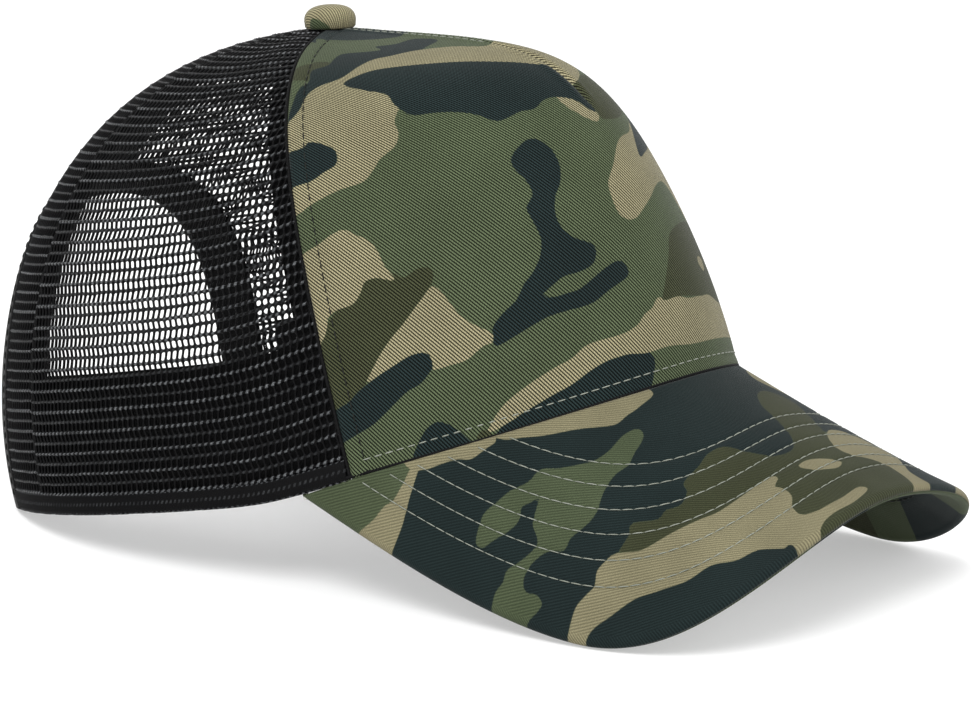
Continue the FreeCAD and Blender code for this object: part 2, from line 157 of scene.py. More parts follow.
def at_height(theta, height):
    return crown_point(theta, height_to_s(theta, height))


def inward(surface, a, b):
    """Unit normals into the cap, from a small step to each side."""
    step = NORMAL_STEP[surface]
    along = surface(a + step, b) - surface(a - step, b)
    up = surface(a, b + step) - surface(a, b - step)
    normal = np.cross(along, up)
    return normal / np.linalg.norm(normal, axis=-1, keepdims=True)


def sunk(surface, a, b, depth):
    """Places at a depth under a surface."""
    a, b, depth = np.broadcast_arrays(a, b, depth)
    return surface(a, b) + inward(surface, a, b) * depth[..., None]


def line_on(surface, a, b, depth):
    """A path at a depth under a surface, and the outward normals along it."""
    a, b = np.broadcast_arrays(a, b)
    return sunk(surface, a, b, depth), -inward(surface, a, b)


def per_radian(theta, t):
    """Millimetres along the crown for each radian round it."""
    step = 1e-3
    return np.linalg.norm(crown(theta + step, t) - crown(theta - step, t), axis=-1) / (2 * step)


def run_along(points):
    """Distance from the first point to each, along a path or along a grid's first axis."""
    step = np.linalg.norm(np.diff(points, axis=0), axis=-1)
    return np.concatenate([np.zeros_like(step[:1]), np.cumsum(step, axis=0)])


# ---- the brim's surface ----


def brim_sheet(u, v):
    x = BRIM_RADIUS * np.sin(u / BRIM_RADIUS)
    drop = BRIM_RADIUS * (1.0 - np.cos(u / BRIM_RADIUS)) / math.cos(BRIM_SLOPE)
    opened = BRIM_FLATTEN * np.clip(v / BRIM_FLATTEN_LENGTH, 0.0, 2.0) ** 2
    y = -FRONT_REACH - v * math.cos(BRIM_SLOPE)
    z = BRIM_LIFT - v * math.sin(BRIM_SLOPE) - drop * (1.0 - opened)
    return np.stack([x, y, z], -1)


NORMAL_STEP = {crown: 1e-4, at_height: 1e-2, brim_sheet: 1e-3}


def evenly(points, count):
    """The same line through evenly spaced points."""
    length = run_along(points)
    wanted = np.linspace(0.0, length[-1], count + 1)
    return np.stack([np.interp(wanted, length, points[:, k]) for k in range(points.shape[1])], -1)


def brim_edge(inset, count):
    """A line at a distance inside the brim's free edge, in the sheet."""
    angle = np.linspace(-math.pi / 2, math.pi / 2, 1601)
    side = np.sign(angle) * np.abs(np.sin(angle)) ** (2.0 / BRIM_POWER)
    rise = np.maximum(np.cos(angle), 0.0) ** (2.0 / BRIM_POWER)
    u = (BRIM_HALF_SPAN - inset) * side
    v = -BRIM_CORNER + (BRIM_LENGTH + BRIM_CORNER - inset) * rise
    return evenly(np.stack([u, v], -1), count)


def brim_root(count, gap):
    """The edge that meets the crown, at a gap from it, in the sheet."""
    theta = np.radians(np.linspace(BRIM_ROOT_ANGLE, -BRIM_ROOT_ANGLE, 801))
    rim = crown(theta, np.zeros_like(theta))
    x, y = rim[:, 0], rim[:, 1]
    grow = 1.0 + gap / np.hypot(x, y)
    u = BRIM_RADIUS * np.arcsin(x * grow / BRIM_RADIUS)
    v = -(y * grow + FRONT_REACH) / math.cos(BRIM_SLOPE)
    return evenly(np.stack([u, v], -1), count)


def root_v(u):
    """How far forward the crown's seam is, at a place across the brim."""
    line = brim_root(400, BOARD_GAP)
    return np.interp(u, line[:, 0], line[:, 1])


def brim_inset(u, v):
    """Distance inside the free edge, of any place on the sheet."""

    def within(inset):
        across = np.abs(u / (BRIM_HALF_SPAN - inset)) ** BRIM_POWER
        forward = (v + BRIM_CORNER) / (BRIM_LENGTH + BRIM_CORNER - inset)
        return across + np.maximum(forward, 0.0) ** BRIM_POWER < 1.0

    return halved(np.full_like(u, -2.0), np.full_like(u, 88.0), within)


# ---- from the rim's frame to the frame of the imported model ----

SPREAD = np.radians(np.linspace(-FRONT_SEAM[0], FRONT_SEAM[0], 121))[:, None]
PROBE = crown(SPREAD, np.linspace(0.0, PANEL_TOP, 121)[None, :]).reshape(-1, 3)


def leant(points):
    """Rim frame to the rest pose, before it is moved to the origin."""
    tilt = math.radians(-REST_TILT)
    x, y, z = points[..., 0], points[..., 1], points[..., 2]
    turned_y = y * math.cos(tilt) - z * math.sin(tilt)
    turned_z = y * math.sin(tilt) + z * math.cos(tilt)
    return np.stack([x, turned_y, turned_z], -1)


panel_low, panel_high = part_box("front_panel")
SHIFT = np.array([
    0.0,
    panel_low.y / MM - leant(PROBE)[:, 1].min(),
    panel_high.z / MM - leant(PROBE)[:, 2].max(),
])


def placed(points):
    """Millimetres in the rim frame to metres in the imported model's frame."""
    return (leant(points) + SHIFT) * MM


# ---- meshes ----


def make_mesh(name, points, faces):
    """A smooth piece of the cap from placed points and faces, given as quad or ngon rows."""
    mesh = bpy.data.meshes.new(name)
    points = np.asarray(points, np.float32).reshape(-1, 3)
    loops = np.concatenate([np.asarray(f, np.int32).ravel() for f in faces])
    totals = np.concatenate([np.full(len(f), np.shape(f)[1], np.int32) for f in faces])
    starts = np.concatenate([[0], np.cumsum(totals)[:-1]]).astype(np.int32)
    mesh.vertices.add(len(points))
    mesh.vertices.foreach_set("co", points.ravel())
    mesh.loops.add(len(loops))
    mesh.loops.foreach_set("vertex_index", loops)
    mesh.polygons.add(len(totals))
    mesh.polygons.foreach_set("loop_start", starts)
    mesh.update(calc_edges=True)
    mesh.validate()
    mesh.polygons.foreach_set("use_smooth", np.full(len(mesh.polygons), True))
    piece = bpy.data.objects.new(name, mesh)
    bpy.context.scene.collection.objects.link(piece)
    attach(piece, "cap")
    return piece


def give(piece, name, values, kind="FLOAT"):
    """A value at each vertex, which the piece's material reads by name."""
    attribute = piece.data.attributes.new(name, kind, "POINT")
    key = "value" if kind == "FLOAT" else "vector"
    attribute.data.foreach_set(key, np.asarray(values, np.float32).ravel())


def ring_walls(index):
    """Quads between neighbouring rings, from indices whose last two axes are ring and place."""
    turn = np.roll(index, -1, axis=-1)
    walls = [index[..., :-1, :], turn[..., :-1, :], turn[..., 1:, :], index[..., 1:, :]]
    return np.stack(walls, -1).reshape(-1, 4)


def slab_faces(columns, rows):
    """Faces of a closed slab: an outer grid, then an inner one of the same size."""
    index = np.arange(columns * rows).reshape(columns, rows)
    under = index + columns * rows
    a, b = index[:-1, :-1].ravel(), index[1:, :-1].ravel()
    c, d = index[1:, 1:].ravel(), index[:-1, 1:].ravel()
    skins = [np.stack([a, d, c, b], 1), np.stack([a, b, c, d], 1) + columns * rows]
    rim = np.concatenate([index[:, 0], index[-1, 1:], index[-2::-1, -1], index[0, -2:0:-1]])
    low = np.concatenate([under[:, 0], under[-1, 1:], under[-2::-1, -1], under[0, -2:0:-1]])
    edge = np.stack([rim, np.roll(rim, -1), np.roll(low, -1), low], 1)
    return skins + [edge]


def slab(name, outer, inner):
    columns, rows = outer.shape[:2]
    points = np.concatenate([outer.reshape(-1, 3), inner.reshape(-1, 3)])
    return make_mesh(name, placed(points), slab_faces(columns, rows))


def swept(name, loops):
    """A closed solid through a row of loops, with its ends filled."""
    stations, around = loops.shape[:2]
    index = np.arange(stations * around).reshape(stations, around)
    ends = [index[0][::-1][None], index[-1][None]]
    return make_mesh(name, placed(loops.reshape(-1, 3)), [ring_walls(index)] + ends)


def pairs(x, y):
    """Two values at each place, from arrays that fit each other."""
    return np.stack(np.broadcast_arrays(x, y), -1)


def full_turn(count):
    return np.linspace(0.0, 2.0 * math.pi, count, endpoint=False)


def dress(piece, places, material, node=None):
    """Lay the cloth's own millimetres and its material on a piece that may replace a node."""
    places = np.reshape(places, (-1, 2))
    give(piece, "cloth", np.concatenate([places, np.zeros((len(places), 1))], 1), "FLOAT_VECTOR")
    piece.data.materials.append(material)
    if node:
        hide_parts(node)


# ---- stitching ----

# Each kind of stitch is its pitch, length and girth.
TOPSTITCH, RIM_STITCH, DART_STITCH = (2.9, 2.5, 0.16), (2.85, 2.4, 0.18), (2.3, 1.9, 0.15)
ROW_STITCH, UNDER_STITCH = (2.9, 2.82, 0.15), (2.9, 2.6, 0.17)
TAPE_STITCH, BAND_STITCH, BINDING_STITCH = (3.0, 2.2, 0.17), (3.2, 2.4, 0.22), (3.0, 2.2, 0.18)
STITCH_RINGS = np.array((0.0, 0.18, 0.5, 0.82, 1.0))
STITCH_GIRTH = np.array((0.35, 0.85, 1.0, 0.85, 0.35))
STITCH_RISE = np.array((-0.16, 0.04, 0.12, 0.04, -0.16))
STITCH_SIDES = 6
STITCH_START = 0.15
STITCH_GAUGE = 0.2


def stitches(name, path, out, kind, material, lean=0.0):
    """A row of separate stitches along a path; out is the cloth's outward normal."""
    pitch, length, girth = kind
    run = run_along(path)
    count = max(int(run[-1] / pitch), 1)
    start = (np.arange(count) + STITCH_START) * run[-1] / count
    where = start[:, None] + STITCH_RINGS[None, :] * length

    def sample(table):
        return np.stack([np.interp(where, run, table[:, k]) for k in range(3)], -1)

    centre, up = sample(path), sample(out)
    up /= np.linalg.norm(up, axis=-1, keepdims=True)
    along = np.gradient(centre, axis=1)
    along /= np.linalg.norm(along, axis=-1, keepdims=True) + 1e-9
    side = np.cross(along, up)
    centre = centre + up * (STITCH_RISE * girth / STITCH_GAUGE)[:, None]
    centre = centre + side * (lean * (STITCH_RINGS - 0.5))[:, None]
    angle = full_turn(STITCH_SIDES)
    ring = up[:, :, None] * np.cos(angle)[:, None] + side[:, :, None] * np.sin(angle)[:, None]
    points = centre[:, :, None] + ring * (STITCH_GIRTH * girth)[:, None, None]
    index = np.arange(points[..., 0].size).reshape(points.shape[:3])
    faces = [ring_walls(index)[:, [0, 3, 2, 1]], index[:, 0, :], index[:, -1, ::-1]]
    make_mesh(name, placed(points.reshape(-1, 3)), faces).data.materials.append(material)


# ---- materials ----


def feed(socket, value):
    """Set a socket, or link another one to it."""
    if isinstance(value, bpy.types.NodeSocket):
        socket.id_data.links.new(value, socket)
    else:
        socket.default_value = value


def add(tree, kind, settings=None, **inputs):
    """A node with settings and inputs; i0, i1 and so on are inputs by number."""
    made = tree.nodes.new(kind)
    for key, value in (settings or {}).items():
        setattr(made, key, value)
    for key, value in inputs.items():
        numbered = key[0] == "i" and key[1:].isdigit()
        feed(made.inputs[int(key[1:]) if numbered else key.replace("_", " ")], value)
    return made


def calc(tree, operation, a, b=0.0, c=0.0):
    return add(tree, "ShaderNodeMath", {"operation": operation}, i0=a, i1=b, i2=c).outputs[0]


def times(tree, first, *others):
    for other in others:
        first = calc(tree, "MULTIPLY", first, other)
    return first


def wave(tree, turns, half=1.0, middle=0.0):
    """A cosine of a number of turns, a half height to each side of its middle."""
    cosine = calc(tree, "COSINE", times(tree, turns, 2.0 * math.pi))
    return calc(tree, "MULTIPLY_ADD", cosine, half, middle)


def remap(tree, value, low, high, to_low=0.0, to_high=1.0):
    inputs = {"i0": value, "i1": low, "i2": high, "i3": to_low, "i4": to_high}
    return add(tree, "ShaderNodeMapRange", {"interpolation_type": "SMOOTHSTEP"}, **inputs).outputs[0]


def blend_colour(tree, share, a, b, mode="MIX"):
    settings = {"data_type": "RGBA", "blend_type": mode}
    return add(tree, "ShaderNodeMix", settings, i0=share, i6=a, i7=b).outputs[2]


def shaded(tree, colour, shade):
    """A colour made darker or lighter by a plain factor."""
    grey = add(tree, "ShaderNodeCombineXYZ", None, i0=shade, i1=shade, i2=shade).outputs[0]
    return blend_colour(tree, 1.0, colour, grey, "MULTIPLY")


def named(tree, attribute, output="Fac"):
    return add(tree, "ShaderNodeAttribute", {"attribute_name": attribute}).outputs[output]


def linear(red, green, blue):
    """A colour from its usual 0 to 255 values."""
    return tuple(
        c / 12.92 if c <= 0.04045 else ((c + 0.055) / 1.055) ** 2.4
        for c in (red / 255, green / 255, blue / 255)
    ) + (1.0,)


def new_material(name):
    material = bpy.data.materials.new(name)
    material.use_nodes = True
    tree = material.node_tree
    return material, tree, tree.nodes["Principled BSDF"]


def coat(shader, **inputs):
    """Set or link a shader's inputs, whose spaces are written as underscores."""
    for key, value in inputs.items():
        feed(shader.inputs[key.replace("_", " ")], value)


def noise(tree, scale, detail=3.0, vector=None, roughness=0.6):
    if vector is None:
        vector = add(tree, "ShaderNodeTexCoord").outputs["Object"]
    inputs = {"Vector": vector, "Scale": scale, "Detail": detail, "Roughness": roughness}
    return add(tree, "ShaderNodeTexNoise", None, **inputs).outputs["Fac"]


def bump(tree, shader, height, strength, distance):
    inputs = {"Strength": strength, "Distance": distance * MM, "Height": height}
    coat(shader, Normal=add(tree, "ShaderNodeBump", None, **inputs).outputs[0])


def twill_threads(tree, angle, pitch):
    """The twill's ridges, 0 in a groove to 1 on a thread, from the cloth's own mm."""
    cloth = named(tree, "cloth", "Vector")
    split = add(tree, "ShaderNodeSeparateXYZ", None, Vector=cloth)
    x, y = split.outputs[0], split.outputs[1]
    c, s = math.cos(math.radians(angle)) / pitch, math.sin(math.radians(angle)) / pitch
    across = calc(tree, "MULTIPLY_ADD", x, c, times(tree, y, s))
    along = calc(tree, "MULTIPLY_ADD", x, -s, times(tree, y, c))
    drift = calc(tree, "MULTIPLY_ADD", noise(tree, 0.9, 2.0, cloth), 0.2, across)
    ridge = wave(tree, drift, 0.5, 0.5)
    lap = wave(tree, calc(tree, "MULTIPLY_ADD", along, 1.15, times(tree, across, 0.5)), 0.13, 0.87)
    return times(tree, calc(tree, "POWER", ridge, 0.8), lap), cloth


CAMO = {
    "green": linear(62, 70, 51),
    "tan": linear(111, 106, 83),
    "olive": linear(49, 52, 36),
    "navy": linear(24, 33, 33),
}
PRINTED = ("tan", "olive", "navy")
EDGE_RIB = 0.95


def camo_cloth(name, angle, pitch, groove, ridge, edge_ribs=False, dark=1.0):
    """Printed camouflage twill, with painted shade: groove and ridge darken the grooves between threads and
    lighten the threads, and dark darkens the whole piece.
    """
    material, tree, shader = new_material(name)
    threads, cloth = twill_threads(tree, angle, pitch)
    if edge_ribs:
        edge = add(tree, "ShaderNodeSeparateXYZ", None, Vector=named(tree, "edge", "Vector"))
        rib = wave(tree, times(tree, edge.outputs[0], 1.0 / EDGE_RIB), 0.5, 0.5)
        share = remap(tree, edge.outputs[1], 2.6, 1.0)
        threads = add(tree, "ShaderNodeMix", None, i0=share, i2=threads, i3=rib).outputs[0]
    ragged = calc(tree, "MULTIPLY_ADD", noise(tree, 2.4, 3.0, cloth), 0.5, -0.25)
    colour = CAMO["green"]
    for layer in PRINTED:
        reach = calc(tree, "ADD", named(tree, layer), ragged)
        colour = blend_colour(tree, remap(tree, reach, -0.14, 0.14), colour, CAMO[layer])
    specks = remap(tree, noise(tree, 3.2, 4.0, cloth, 0.8), 0.3, 0.7, 0.74, 1.28)
    fade = remap(tree, noise(tree, 0.045, 3.0, cloth), 0.3, 0.7, 0.93, 1.08)
    # painted shade and highlight: the colour is darker in the twill's grooves and lighter on its threads,
    # times specks and fade of the cloth's own tone, and dark, painted shade over the whole piece
    shade = add(tree, "ShaderNodeMapRange", None, i0=threads, i3=groove, i4=ridge).outputs[0]
    shade = times(tree, calc(tree, "MAXIMUM", shade, 0.03), specks, fade, dark)
    coat(shader, Base_Color=shaded(tree, colour, shade), Roughness=0.85, Specular_IOR_Level=0.06,
         Sheen_Weight=0.10, Sheen_Roughness=0.35)
    height = calc(tree, "MULTIPLY_ADD", noise(tree, 5.0, 3.0, cloth), 0.35, threads)
    bump(tree, shader, height, 0.55, 0.16)
    return material


def black_cloth(name, pitch, angle, tone, rough=0.7):
    """Plain dark woven cloth, in a grey tone, with painted shade in the grooves between its threads."""
    material, tree, shader = new_material(name)
    threads, cloth = twill_threads(tree, angle, pitch)
    specks = remap(tree, noise(tree, 3.0, 3.0, cloth), 0.3, 0.7, 0.7, 1.3)
    # painted shade in the grooves between threads and a painted highlight on the threads, times specks of
    # the cloth's own tone
    shade = times(tree, calc(tree, "MULTIPLY_ADD", threads, 0.8, 0.5), specks)
    colour = shaded(tree, linear(tone, tone, tone + 1), shade)
    coat(shader, Base_Color=colour, Roughness=rough, Specular_IOR_Level=0.12)
    bump(tree, shader, threads, 0.6, 0.15)
    return material


def net_yarn():
    """Black filament yarn, with painted glints where it bends over the net's bars: a lighter colour there,
    and more gloss.
    """
    material, tree, shader = new_material("net_yarn")
    cloth = named(tree, "cloth", "Vector")
    split = add(tree, "ShaderNodeSeparateXYZ", None, Vector=cloth)
    x = times(tree, split.outputs[0], 1.0 / NET_COLUMN)
    y = times(tree, split.outputs[1], 1.0 / NET_ROW)
    strong = remap(tree, wave(tree, times(tree, y, 0.5)), -0.6, 0.6, 0.3, 1.0)
    bar = remap(tree, wave(tree, y), 0.25, 0.9)
    dash = remap(tree, wave(tree, calc(tree, "MULTIPLY_ADD", y, 0.9, x)), -0.3, 0.7)
    strands = noise(tree, 4.5, 4.0, cloth, 0.7)
    patchy = remap(tree, noise(tree, 0.12, 3.0, cloth), 0.3, 0.65, 0.35, 1.0)
    painted_glint_and_gloss = times(tree, bar, dash, strong, remap(tree, strands, 0.3, 0.65), patchy)
    # painted highlight: the black yarn is lightened to a grey glint on its bars; the same mask also raises
    # its gloss
    colour = blend_colour(tree, painted_glint_and_gloss, linear(7, 7, 8), linear(104, 107, 110))
    coat(shader, Base_Color=colour, Roughness=0.42,
         Specular_IOR_Level=remap(tree, painted_glint_and_gloss, 0.0, 1.0, 0.08, 0.7))
    bump(tree, shader, strands, 0.8, 0.2)
    return material


def thread(name, tone, spread):
    """Sewing thread, with a little change of shade from stitch to stitch."""
    material, tree, shader = new_material(name)
    colour = blend_colour(tree, noise(tree, 260.0, 2.0), linear(*tone), linear(*spread))
    coat(shader, Base_Color=colour, Roughness=0.5, Specular_IOR_Level=0.15)
    bump(tree, shader, noise(tree, 3500.0, 2.0), 0.5, 0.06)
    return material


def grained(name, low, high, blotches, grain, rough, depth, metal=0.0):
    """Plastic or metal between two tones, with a fine grain in its gloss."""
    material, tree, shader = new_material(name)
    fine = noise(tree, grain, 4.0)
    share = noise(tree, blotches) if blotches else fine
    coat(shader, Base_Color=blend_colour(tree, share, linear(*low), linear(*high)), Metallic=metal,
         Roughness=remap(tree, fine, 0.3, 0.7, *rough))
    bump(tree, shader, fine, *depth)
    return material


# dark is painted shade: it darkens the front panel's cloth and the brim underside's cloth as a whole
PANEL_CLOTH = camo_cloth("panel_twill", -31.0, 0.71, -0.35, 2.9, dark=0.83)
BRIM_CLOTH = camo_cloth("brim_twill", -31.0, 0.56, 0.68, 1.34, edge_ribs=True)
UNDER_CLOTH = camo_cloth("under_twill", -31.0, 0.56, 0.6, 1.35, edge_ribs=True, dark=0.9)
BUTTON_CLOTH = camo_cloth("button_twill", -20.0, 0.7, 0.3, 2.1)
NET = net_yarn()
TAPE = black_cloth("seam_tape_cloth", 0.8, 45.0, 13)
BAND = black_cloth("sweatband_cloth", 0.6, 30.0, 13)
BINDING = black_cloth("binding_cloth", 0.9, 45.0, 15, 0.6)
BACKING = black_cloth("stiffener_weave", 1.1, 0.0, 40, 0.8)
LIGHT_THREAD = thread("light_thread", (150, 154, 144), (100, 104, 94))
DARK_THREAD = thread("dark_thread", (16, 18, 16), (28, 30, 26))
BLACK_PLASTIC = grained("snap_plastic", (12, 12, 13), (21, 21, 22), 60.0, 1500.0, (0.3, 0.48), (0.3, 0.05))
BOARD = grained("board_plastic", (190, 190, 184), (199, 199, 193), 60.0, 1500.0, (0.42, 0.6), (0.3, 0.05))
STEEL = grained("button_steel", (150, 150, 148), (196, 196, 192), 0.0, 900.0, (0.25, 0.45), (0.2, 0.04), 1.0)

# ---- camouflage ----
# Outlines are drawn in the cloth's own millimetres: across from the
# centre (the wearer's right is + on the crown, left on the brim) and forward
# or up. Each is painted over the ones before it. A third value keeps a shape
# to one side of the crown's dart, where the printed cloth was cut and sewn.
# A line runs smoothly through the points, in OUTLINE_STEPS steps from each to
# the next, and a distance from it is kept within FAR.

CROWN_PRINT = (
    ("olive", ((58, 101), (52, 106), (44, 109), (41, 107), (46, 103), (51, 100)), 0),
    ("navy", ((72, 84), (64, 92), (58, 97), (54, 99), (49, 104), (43, 106), (38, 110), (32, 114),
        (23, 114), (20, 119), (14, 120), (6, 124), (5, 118), (14, 111), (22, 105), (40, 97), (50, 92),
        (60, 87)), 0),
    ("navy", ((30, 128), (24, 133), (15, 131), (6, 130), (-4, 134), (-20, 129), (-34, 136), (-30, 152),
        (0, 156), (28, 152)), 0),
    ("tan", ((-12, 104), (4, 104), (10, 108), (18, 109), (26, 107), (31, 106), (37, 103), (46, 98),
        (54, 96), (60, 93), (65, 89), (72, 86), (88, 84), (96, 70), (84, 65), (78, 66), (70, 67), (64, 67),
        (60, 69), (57, 71), (52, 73), (49, 76), (47, 80), (40, 84), (20, 86), (-12, 82)), 1),
    ("tan", ((4, 77), (-3, 80), (-10, 83), (-20, 88), (-22, 98), (-10, 105), (4, 104)), -1),
    ("olive", ((4, 77), (-3, 80), (-10, 82), (-25, 80), (-28, 73), (-16, 69), (-6, 67), (4, 69)), -1),
    ("tan", ((8, 77), (8, 73), (6, 70), (4, 68), (2, 67), (0, 69), (2, 73)), 0),
    ("navy", ((48, 95), (41, 98), (35, 99), (27, 98), (19, 96), (12, 93), (6, 90), (0, 86), (-9, 80),
        (-6, 70), (1, 70), (4, 74), (8, 76), (12, 76), (16, 74), (20, 74), (24, 73), (27, 73), (30, 76),
        (34, 78), (38, 79), (43, 80), (44, 84), (43, 88), (46, 91)), 1),
    ("navy", ((86, 79), (73, 79), (69, 80), (66, 78), (65, 76), (67, 73), (71, 72), (76, 71),
        (86, 72)), 0),
    ("tan", ((-10, 63), (-4, 62), (0, 60), (5, 55), (9, 51), (10, 47), (10, 43), (8, 41), (5, 41), (1, 43),
        (-3, 45), (-9, 48), (-15, 49), (-19, 47), (-22, 43), (-27, 38), (-36, 38), (-44, 44), (-46, 54),
        (-38, 62), (-26, 66), (-16, 66)), 0),
    ("navy", ((-8, 56), (-10, 60), (-14, 64), (-20, 68), (-30, 72), (-38, 70), (-34, 64), (-22, 59),
        (-13, 57)), 0),
    ("navy", ((24, 66), (21, 66), (19, 63), (19, 59), (20, 56), (22, 53), (24, 51), (26, 47), (26, 43),
        (24, 40), (21, 38), (20, 36), (22, 33), (26, 32), (30, 32), (33, 31), (37, 29), (34, 28), (31, 28),
        (28, 28), (25, 29), (20, 31), (16, 32), (14, 31), (14, 28), (20, 26), (26, 24), (32, 24), (37, 24),
        (42, 23), (46, 22), (51, 21), (52, 23), (50, 26), (47, 28), (43, 30), (40, 33), (37, 35), (34, 38),
        (32, 42), (32, 47), (32, 50), (29, 53), (29, 57), (30, 60), (29, 63)), 0),
    ("olive", ((100, 36), (91, 37), (86, 40), (80, 43), (74, 46), (68, 45), (66, 43), (62, 44), (59, 43),
        (60, 40), (64, 37), (70, 33), (75, 29), (80, 25), (84, 21), (90, 19), (96, 16), (104, 18)), 0),
    ("tan", ((97, 57), (87, 56), (81, 57), (77, 58), (74, 58), (72, 56), (70, 54), (69, 51), (69, 47),
        (68, 43), (72, 45), (75, 45), (77, 43), (80, 41), (84, 41), (87, 40), (88, 38), (91, 35),
        (98, 34)), 0),
    ("tan", ((60, 39), (58, 34), (57, 31), (55, 28), (53, 26), (51, 24), (52, 22), (54, 22), (59, 20),
        (63, 20), (67, 20), (75, 20), (84, 21), (80, 26), (75, 30), (70, 33), (64, 37)), 0),
    ("navy", ((90, 19), (86, 21), (80, 23), (76, 24), (72, 25), (69, 25), (67, 24), (67, 21), (68, 20),
        (71, 18), (75, 17), (79, 15), (85, 12), (89, 11), (93, 10), (103, 8), (103, 18), (96, 18)), 0),
    ("navy", ((80, -3), (78, 1), (76, 4), (73, 7), (70, 8), (68, 7), (66, 5), (64, 2), (62, -3)), 0),
    ("olive", ((63, -3), (62, 1), (60, 3), (58, 1), (57, -3)), 0),
    ("navy", ((59, -4), (56, 2), (50, 5), (46, 7), (41, 8), (36, 9), (31, 10), (26, 10), (20, 10),
        (16, 10), (14, 8), (14, 6), (15, 4), (17, 1), (21, -2), (30, -5)), 0),
    ("tan", ((59, 2), (54, 7), (47, 10), (40, 12), (35, 13), (30, 15), (21, 15), (16, 16), (13, 18),
        (10, 19), (7, 21), (0, 20), (-4, 19), (-10, 19), (-16, 19), (-26, 17), (-40, 14), (-48, 10),
        (-36, 8), (-18, 8), (-9, 8), (0, 8), (8, 9), (12, 9), (16, 9), (21, 10), (26, 10), (31, 9),
        (37, 7), (42, 6), (46, 5), (50, 4), (53, 3)), 0),
    ("olive", ((6, 20), (4, 23), (1, 27), (-2, 31), (-5, 35), (-10, 37), (-17, 38), (-26, 38), (-45, 36),
        (-50, 22), (-28, 17), (-16, 19), (-10, 19), (0, 20)), 0),
    ("tan", ((-19, 29), (-17, 27), (-20, 25), (-23, 28)), 0),
    ("navy", ((-44, 94), (-36, 86), (-42, 78), (-52, 74), (-64, 76), (-76, 84), (-74, 92), (-60, 96)), 0),
    ("tan", ((-34, 118), (-26, 112), (-32, 104), (-44, 100), (-58, 102), (-62, 110), (-48, 116)), 0),
    ("tan", ((-66, 64), (-58, 56), (-62, 46), (-72, 42), (-80, 46), (-78, 54), (-86, 62), (-76, 68)), 0),
    ("navy", ((-54, 44), (-50, 36), (-58, 28), (-70, 22), (-84, 20), (-88, 28), (-76, 34), (-68, 44)), 0),
    ("navy", ((-52, 22), (-46, 14), (-54, 6), (-68, 2), (-76, -4), (-52, -4), (-38, 0), (-34, 8),
        (-42, 14)), 0),
    ("olive", ((-84, 16), (-76, 8), (-82, 0), (-98, 2), (-104, 14), (-96, 24)), 0),
    ("tan", ((-96, 50), (-90, 40), (-98, 34), (-106, 44)), 0),
)

